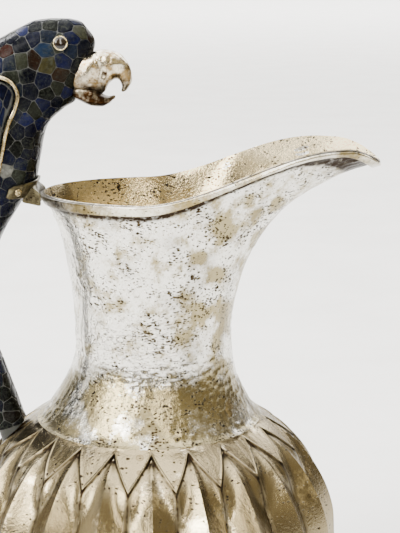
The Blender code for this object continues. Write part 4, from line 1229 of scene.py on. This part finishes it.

# %% [markdown]
# ### Old plated silver
#
# Silver and thin plate over brass go warm where the polish wears, and sulphide darkens pits and
# corners. So each silver is a mix: a pale colour and a warm one in soft patches, small dark pits, a
# brown film where tarnish was painted, which in some hollows is painted shade as well, and a
# rougher surface wherever it is dull.

# %% The silver family
def old_silver(name, pale, warm, film, patch, warmth, pit_size, pits, rough, relief, stains=0.0,
               inside=None, creases=False):
    """A tarnished silver. patch and pit_size are in millimetres; warmth and pits are shares.

    The warm share is a noise pushed to a soft threshold. A pit is the small end of a cell's
    distance. The film is the painted tarnish and painted shade, broken up by a noise. Stains are
    round, with a darker rim. Creases are thin lines where a flattened noise crosses its middle.
    The inside colour is a painted warm reflection, mixed in clouds on the lining.
    """
    material, tree, noise = blank(name, {
        "patches": (patch, 8.0, 0.70, 0.15), "bend": (6.0, 2.0, 0.5, 0.0),
        "crowd": (11.0, 3.0, 0.5, 0.0), "speck": (1.1, 4.0, 0.75, 0.0),
        "broken": (2.6, 5.0, 0.7, 0.0), "fine": (1.3, 4.0, 0.6, 0.0),
        "cloud": (14.0, 4.0, 0.5, 0.0)})
    place = noise["place"]
    painted = {key: add(tree, "Attribute", [], "Fac", attribute_name=key)
               for key in ("wear", "tarnish_and_shade", "inside", "crease")}
    worn = add(tree, "Math", [painted["wear"], 0.40, noise["patches"]], operation="MULTIPLY_ADD")
    share = add(tree, "MapRange", [worn, 0.62 - 0.35 * warmth, 0.78 - 0.30 * warmth], **SMOOTH)
    layers = [(share, rgba(warm))]
    # painted reflection: the lining goes warm gold, in clouds, for light bouncing inside the neck
    if inside is not None:
        lining_reflection_colour = add(tree, "Mix", {FACTOR: noise["cloud"], COLOUR_A: rgba(inside),
                                          COLOUR_B: rgba("#cabb96")}, **MIX)
        layers.append((painted["inside"], lining_reflection_colour))

    bent = noise["bend"].node.outputs["Color"]
    wavy = add(tree, "VectorMath", [bent, (0.0035, 0.0035, 0.0035)], operation="MULTIPLY")
    moved = add(tree, "VectorMath", [place, wavy], operation="ADD")
    flat = add(tree, "VectorMath", [moved, (1.0, 1.0, 1.9)], operation="MULTIPLY")
    cell = add(tree, "TexVoronoi", {"Vector": flat, "Scale": 1000 / pit_size}, "Distance")
    chance = add(tree, "SeparateXYZ", [cell.node.outputs["Color"]])
    limit = add(tree, "MapRange", [noise["crowd"], 0.34, 0.64, 0.22, 0.26 + 0.62 * pits])
    own = add(tree, "Math", [limit, chance], operation="MULTIPLY")
    depth = add(tree, "Math", [own, cell], operation="SUBTRACT")
    pit = add(tree, "MapRange", [depth, 0.0, 0.10], **SMOOTH)
    grime = add(tree, "MapRange", [noise["speck"], 0.48, 0.68, 0.0, 0.60], **SMOOTH)
    layers += [(pit, rgba(film)), (grime, rgba(warm))]
    if stains:
        ring = add(tree, "TexVoronoi", {"Vector": place, "Scale": 1000 / 12.0}, "Distance")
        spot = add(tree, "MapRange", [ring, 0.17, 0.12, 0.0, 0.75 * stains], **SMOOTH)
        halo = add(tree, "MapRange", [ring, 0.10, 0.145, 0.35, 1.0])
        layers.append((add(tree, "Math", [spot, halo], operation="MULTIPLY"), rgba("#4a3a22")))
    if creases:
        flatter = add(tree, "VectorMath", [moved, (1.0, 1.0, 3.2)], operation="MULTIPLY")
        fold = add(tree, "TexNoise", {"Vector": flatter, "Scale": 1000 / 8.0, "Detail": 3.0,
                                      "Distortion": 0.6})
        aside = add(tree, "Math", [fold, 0.5], operation="SUBTRACT")
        apart = add(tree, "Math", [aside], operation="ABSOLUTE")
        line = add(tree, "MapRange", [apart, 0.022, 0.006, 0.0, 0.9], **SMOOTH)
        drawn = add(tree, "Math", [line, painted["crease"]], operation="MULTIPLY")
        layers.append((drawn, rgba("#3d362b")))

    patchy = add(tree, "MapRange", [noise["broken"], 0.25, 0.70, 0.55, 1.45])
    amount = add(tree, "Math", [painted["tarnish_and_shade"], patchy], operation="MULTIPLY", use_clamp=True)
    layers.append((amount, rgba(film)))
    colour = rgba(pale)
    for mask, over in layers:
        colour = add(tree, "Mix", {FACTOR: mask, COLOUR_A: colour, COLOUR_B: over}, **MIX)

    dull = add(tree, "Math", [share, 0.10, rough], operation="MULTIPLY_ADD")
    duller = add(tree, "Math", [amount, 0.22, dull], operation="MULTIPLY_ADD")
    height = add(tree, "Math", [pit, -0.8, noise["fine"]], operation="MULTIPLY_ADD")
    bump = add(tree, "Bump", {"Height": height, "Strength": relief, "Distance": 0.00025})
    shader = add(tree, "BsdfPrincipled", {"Base Color": colour, "Metallic": 1.0,
                                          "Roughness": duller, "Normal": bump})
    add(tree, "OutputMaterial", [shader])
    return material


# Raised and planished sheet silver: bright, with soft dents, and warm where the plate is thin.
# Its lining is painted warm gold: a painted reflection of light bouncing inside the neck.
hammered = old_silver("hammered_silver_sheet", "#dfddd6", "#8f8464", "#241c14", 13.0, 0.40, 1.6,
                      0.85, 0.13, 0.7, stains=0.55, inside="#ae9e7b", creases=True)
# Chased sheet: the same metal, yellower, with stains like drops and dirt in the grooves.
fluted = old_silver("fluted_silver_sheet", "#d6c8a8", "#7f7358", "#1d150d", 16.0, 0.50, 2.6,
                    0.28, 0.15, 0.6, stains=1.0)
# A polished strip: the brightest silver, brown at the ends.
strip_silver = old_silver("polished_rim_silver", "#dfd9c8", "#85764f", "#1d150d", 26.0, 0.42, 1.8,
                          0.25, 0.14, 0.3)
# Cast and filed silver of the beak, with a brown-gold patina.
beak_silver = old_silver("patinated_beak_silver", "#dcd2ba", "#86704a", "#2c1b0b", 7.0, 0.50, 1.3,
                         0.35, 0.17, 0.4)
# Drawn wire and rivets: pale gold where worn.
wire_silver = old_silver("drawn_wire_silver", "#bdae8a", "#6b5c3e", "#241a10", 6.0, 0.50, 1.4,
                         0.30, 0.20, 0.3)
# Dull strap silver, olive-grey with tarnish.
strap_silver = old_silver("tarnished_strap_silver", "#6a634c", "#3c3627", "#15100a", 5.0, 0.60, 1.5,
                          0.60, 0.24, 0.5)
# The raised brass shell inside the bird, never polished.
shell_brass = old_silver("raw_brass_shell", "#b48c4c", "#7c5c30", "#30200f", 9.0, 0.55, 2.0,
                         0.40, 0.38, 0.4)

# %% [markdown]
# ### Stone, cement and glass
#
# The chips are sodalite and jasper, polished with the cement: dark, glossy, and crossed by thin
# veins and clouds. The cement is a grey-green plaster that stays matt.

# %% Stone chips
def polished_stone(name, vein, veins, lift, rough):
    """Stone in the painted colours, with clouds, thin pale veins and specks, under a polish.

    A vein lies where a noise crosses its middle. Specks are the top of a fine noise, and gather
    where a slow one is high.
    """
    material, tree, noise = blank(name, {
        "cloud": (3.2, 5.0, 0.65, 0.8), "line": (4.5, 6.0, 0.7, 1.6), "salt": (1.2, 5.0, 0.8, 0.0),
        "crowd": (9.0, 2.0, 0.5, 0.0), "grain": (0.9, 3.0, 0.5, 0.0)})
    own = add(tree, "Attribute", [], "Color", attribute_name="stone")
    shade = add(tree, "MapRange", [noise["cloud"], 0.30, 0.70, 0.45, lift])
    colour = add(tree, "VectorMath", {0: own, "Scale": shade}, operation="SCALE")
    off = add(tree, "Math", [noise["line"], 0.5], operation="SUBTRACT")
    size = add(tree, "Math", [off], operation="ABSOLUTE")
    thin = add(tree, "MapRange", [size, 0.012, 0.002, 0.0, veins], **SMOOTH)
    thick = add(tree, "Math", [noise["crowd"], 0.55, noise["salt"]], operation="MULTIPLY_ADD")
    salted = add(tree, "MapRange", [thick, 0.80, 0.98, 0.0, veins], **SMOOTH)
    for mask in (thin, salted):
        colour = add(tree, "Mix", {FACTOR: mask, COLOUR_A: colour, COLOUR_B: rgba(vein)}, **MIX)
    polish = add(tree, "MapRange", [noise["grain"], 0.3, 0.75, rough, rough + 0.16])
    bump = add(tree, "Bump", {"Height": noise["grain"], "Strength": 0.25, "Distance": 0.0001})
    shader = add(tree, "BsdfPrincipled", {"Base Color": colour, "IOR": 1.5, "Roughness": polish,
                                          "Specular IOR Level": 0.04, "Normal": bump})
    add(tree, "OutputMaterial", [shader])
    return material


stone = polished_stone("polished_sodalite_chips", "#2b2e28", 0.70, 1.4, 0.18)
inlay = polished_stone("polished_black_inlay", "#1d2233", 0.35, 1.6, 0.10)


# %% Cement, eye stone and floor
def two_tone(name, dark, pale, size, rough, relief, ior):
    """A plain material with two colours in a fine noise, and the same noise as its relief."""
    material, tree, noise = blank(name, {"grit": (size, 5.0, 0.65, 0.0)})
    share = add(tree, "MapRange", [noise["grit"], 0.34, 0.64])
    tone = add(tree, "Mix", {FACTOR: share, COLOUR_A: rgba(dark), COLOUR_B: rgba(pale)}, **MIX)
    matt = add(tree, "MapRange", [noise["grit"], 0.0, 1.0, rough, rough + 0.15])
    bump = add(tree, "Bump", {"Height": noise["grit"], "Strength": relief, "Distance": 0.0002})
    shader = add(tree, "BsdfPrincipled", {"Base Color": tone, "IOR": ior, "Roughness": matt,
                                          "Normal": bump})
    add(tree, "OutputMaterial", [shader])
    return material


# Lime cement, polished with the stones: dark grey-green, matt, with grit.
cement_grey = two_tone("lime_cement", "#080907", "#20221d", 1.6, 0.45, 0.4, 1.5)
# Obsidian: nearly black brown glass, with faint brown bands.
obsidian = two_tone("brown_obsidian", "#050302", "#170d07", 2.2, 0.06, 0.05, 1.5)
# A painted studio floor: pale, matt, and even.
floor_paint = two_tone("pale_floor_paint", "#dddcda", "#e4e3e1", 120.0, 0.85, 0.0, 1.45)

# %% [markdown]
# ## Tarnish on the neck, the strip and the fittings, and the lining's painted reflection
#
# Under the rim's strip the solder left a brown line. The rest of the neck has tarnish only at its
# hammer marks' edges. It is worn low down and on the right, and creased at the waist. The lining
# is painted as inside, which makes it warm gold: a painted reflection of light bouncing inside.

# %% Painting the sheets
def neck_paint(name, face, lined):
    """Paints the neck's outer face, point by point, and its lining evenly."""
    face = (face + 0 * marks).ravel()
    paint(neck, name, np.append(face, np.full(lining_out[..., 0].size, lined)))


def front_wave(angle):
    """Strongest at a plan angle, and none opposite it: half of one plus the cosine."""
    return 0.5 + 0.5 * np.cos(angle)


under_strip = ease((level - 0.850) / 0.05) * front_wave(plan + 1.2)
dark_edges = 0.22 * ease((1 - dish) / 0.25) * ease((waves(neck_outer, 0.020, 81) - 0.2) / 0.8)
low_film = 0.10 * ease(-level / 0.9)
neck_paint("tarnish_and_shade", np.clip(under_strip * 1.35 + dark_edges + low_film, 0, 1), 0.12)
worn_low = ease((-0.15 - level) / 0.35) * (0.42 + 0.22 * waves(neck_outer, 0.024, 83))
worn_right = ease((np.cos(plan + 0.5) - 0.55) / 0.35) * ease((0.75 - np.abs(level - 0.1)) / 0.3)
worn_right = worn_right * (0.22 + 0.35 * waves(neck_outer, 0.015, 85))
neck_paint("wear", np.maximum(worn_low, worn_right), 0.0)
at_waist = ease((0.17 - np.abs(level - 0.03)) / 0.10)
near_front = ease((0.80 - np.abs(plan + 1.75 - math.tau)) / 0.35)
neck_paint("crease", at_waist * near_front, 0.0)
# painted reflection: the lining, marked as inside, takes the warm gold colour
neck_paint("inside", 0.0, 1.0)
globe_wear = 0.5 + 0.3 * waves(skin, 0.03, 84)
paint(globe, "wear", np.append(globe_wear, np.zeros(lining[..., 0].size + 2)))
far_end = ease((-0.005 - strip[..., 0]) / 0.045) * 0.75
lip_end = ease((strip[..., 0] - 0.045) / 0.05) * 0.22
paint(band, "tarnish_and_shade", np.clip(far_end + lip_end + 0.1 * waves(strip, 0.012, 82), 0, 1))
for fitting in (foot, strap, tab):
    paint(fitting, "tarnish_and_shade", np.full(len(fitting.data.vertices), 0.25))

# %% [markdown]
# ## Fixing each piece to the pitcher
#
# Every new piece takes the place of its solid, takes its material, and rides on the one body, as
# nothing here moves.

# %% Settling the pieces
settle(globe, fluted, "fluted_silver", "bowl")
settle(neck, hammered, "hammered_silver", "neck_spout")
settle(band, strip_silver, "polished_silver", "rim_band")
settle(foot, fluted, "hammered_silver", "foot_ring")
settle(strap, strap_silver, "hammered_silver", "handle_yoke")
settle(tab, strap_silver, "hammered_silver", "rim_lug")
settle(upper_beak, beak_silver, "polished_silver", "beak_upper")
settle(lower_beak, beak_silver, "polished_silver", "beak_lower")
for region in regions:
    settle(beds[region], cement_grey, "stone_mosaic", region + "_mosaic")
    settle(mosaic[region], stone, "stone_mosaic")
for tag in ("left", "right"):
    settle(wings[tag], cement_grey, "dark_inlay", "wing_" + tag)
    settle(wing_chips[tag], inlay, "dark_inlay")
    settle(wires[tag], wire_silver, "polished_silver", "wing_wire_" + tag)
    settle(eye_rings[tag], wire_silver, "polished_silver", "eye_ring_" + tag)
    settle(eye_stones[tag], obsidian, "eye_stone", "eye_stone_" + tag)
    settle(rivets[tag], wire_silver, "polished_silver", "rivet_" + tag)
for material_slot in bpy.data.objects["bird_shell"].material_slots:
    material_slot.material = shell_brass

# %% [markdown]
# ## Floor, light and camera
#
# Metal shows the room, so the room matters more than the lamps. The floor is wide and pale. The sky
# is bright above and on the left, dimmer and warm on the right, and has a dark band low down in
# front, as a studio has past its lights; dents pick up that band as dark flecks. Two dark curtains
# behind, one on each side, draw the dark lines near the edges of the neck. A long soft lamp stands
# on the left in front, and a weaker one on the right.

# %% The floor
HALF_FLOOR = 20.0
floor_mesh = bpy.data.meshes.new("studio_floor")
square = ((-1, -1), (1, -1), (1, 1), (-1, 1))
corners = [(x * HALF_FLOOR, y * HALF_FLOOR, 0.0) for x, y in square]
floor_mesh.from_pydata(corners, [], [(0, 1, 2, 3)])
floor = bpy.data.objects.new("studio_floor", floor_mesh)
bpy.context.scene.collection.objects.link(floor)
floor.data.materials.append(floor_paint)

# %% The studio's sky
world = bpy.data.worlds.new("studio")
bpy.context.scene.world = world
world.use_nodes = True
sky = world.node_tree
sky.nodes.clear()
toward = add(sky, "SeparateXYZ", [add(sky, "TexCoord", [], "Generated")]).node.outputs
# Each share of the sky grows along one axis of the direction, from a start to a stop.
leftward, backward, upward, lowest, frontward = (
    add(sky, "MapRange", [toward[axis], start, stop, 0.0, most], **SMOOTH)
    for axis, start, stop, most in (("X", 0.85, -0.85, 1.0), ("Y", -0.35, 0.45, 1.0),
                                    ("Z", 0.62, 0.92, 1.0), ("Z", 0.34, 0.12, 0.85),
                                    ("Y", 0.1, -0.5, 1.0))
)
sides = add(sky, "Mix", {FACTOR: leftward, COLOUR_A: rgba("#857c69"),
                         COLOUR_B: rgba("#eeece6")}, **MIX)
low_front = add(sky, "Math", [lowest, frontward], operation="MULTIPLY")
parts = [(backward, sides), (upward, rgba("#ffffff")), (low_front, rgba("#241f19"))]
# A curtain hangs at a bearing from the back, and fades out over a few degrees.
bearing = add(sky, "Math", [toward["X"], toward["Y"]], operation="ARCTAN2")
for middle, most in ((-1.02, 1.0), (1.12, 0.75)):
    beside = add(sky, "Math", [bearing, middle], operation="SUBTRACT")
    apart = add(sky, "Math", [beside], operation="ABSOLUTE")
    curtain = add(sky, "MapRange", [apart, 0.26, 0.18, 0.0, most], **SMOOTH)
    parts.append((curtain, rgba("#0d0b08")))
colour = rgba("#857b60")
for mask, over in parts:
    colour = add(sky, "Mix", {FACTOR: mask, COLOUR_A: colour, COLOUR_B: over}, **MIX)
room = add(sky, "Background", [colour, 3.2])
plain = add(sky, "Background", [rgba("#f3f3f1"), 3.4])
seen = add(sky, "LightPath", [], "Is Camera Ray")
add(sky, "OutputWorld", [add(sky, "MixShader", [seen, room, plain])])


# %% The lamps
def softbox(name, place, aim, wide, tall, watts, code):
    """A rectangular lamp at a place, turned towards an aim."""
    lamp = bpy.data.lights.new(name, "AREA")
    lamp.shape = "RECTANGLE"
    lamp.size, lamp.size_y = wide, tall
    lamp.energy = watts
    lamp.color = linear(code)
    item = bpy.data.objects.new(name, lamp)
    item.location = place
    item.rotation_euler = (Vector(aim) - Vector(place)).to_track_quat("-Z", "Y").to_euler()
    bpy.context.scene.collection.objects.link(item)
    print(name, watts, "W")


PITCHER = (0, 0, 0.18)
softbox("key_lamp", (-1.9, -1.5, 1.7), PITCHER, 1.2, 1.2, 105, "#fffdf8")
softbox("left_strip", (-0.75, -1.25, 1.35), PITCHER, 0.28, 1.5, 28, "#fffefa")
softbox("right_strip", (0.40, -1.45, 1.35), PITCHER, 0.20, 1.5, 22, "#fffaf0")
softbox("top_lamp", (0.1, 0.3, 2.6), PITCHER, 2.6, 2.6, 110, "#ffffff")
softbox("back_lamp", (-1.2, 1.1, 1.75), (-0.06, 0, 0.3), 0.35, 0.35, 26, "#ffffff")
softbox("backdrop_lamp", (1.0, 9.0, 4.5), (1.0, 9.0, 0.0), 14.0, 8.0, 2600, "#ffffff")

# %% The camera
camera_data = bpy.data.cameras.new("camera")
camera_data.lens = 127.35
camera_data.sensor_width = 36.0
camera_data.sensor_fit = "HORIZONTAL"
camera_data.clip_end = 100.0
camera = bpy.data.objects.new("camera", camera_data)
camera.location = (0.022325, -0.656193, 0.362138)
camera.rotation_euler = (math.radians(90 - 12.5), 0.0, 0.0)
bpy.context.scene.collection.objects.link(camera)
bpy.context.scene.camera = camera
print("camera at", tuple(camera.location))
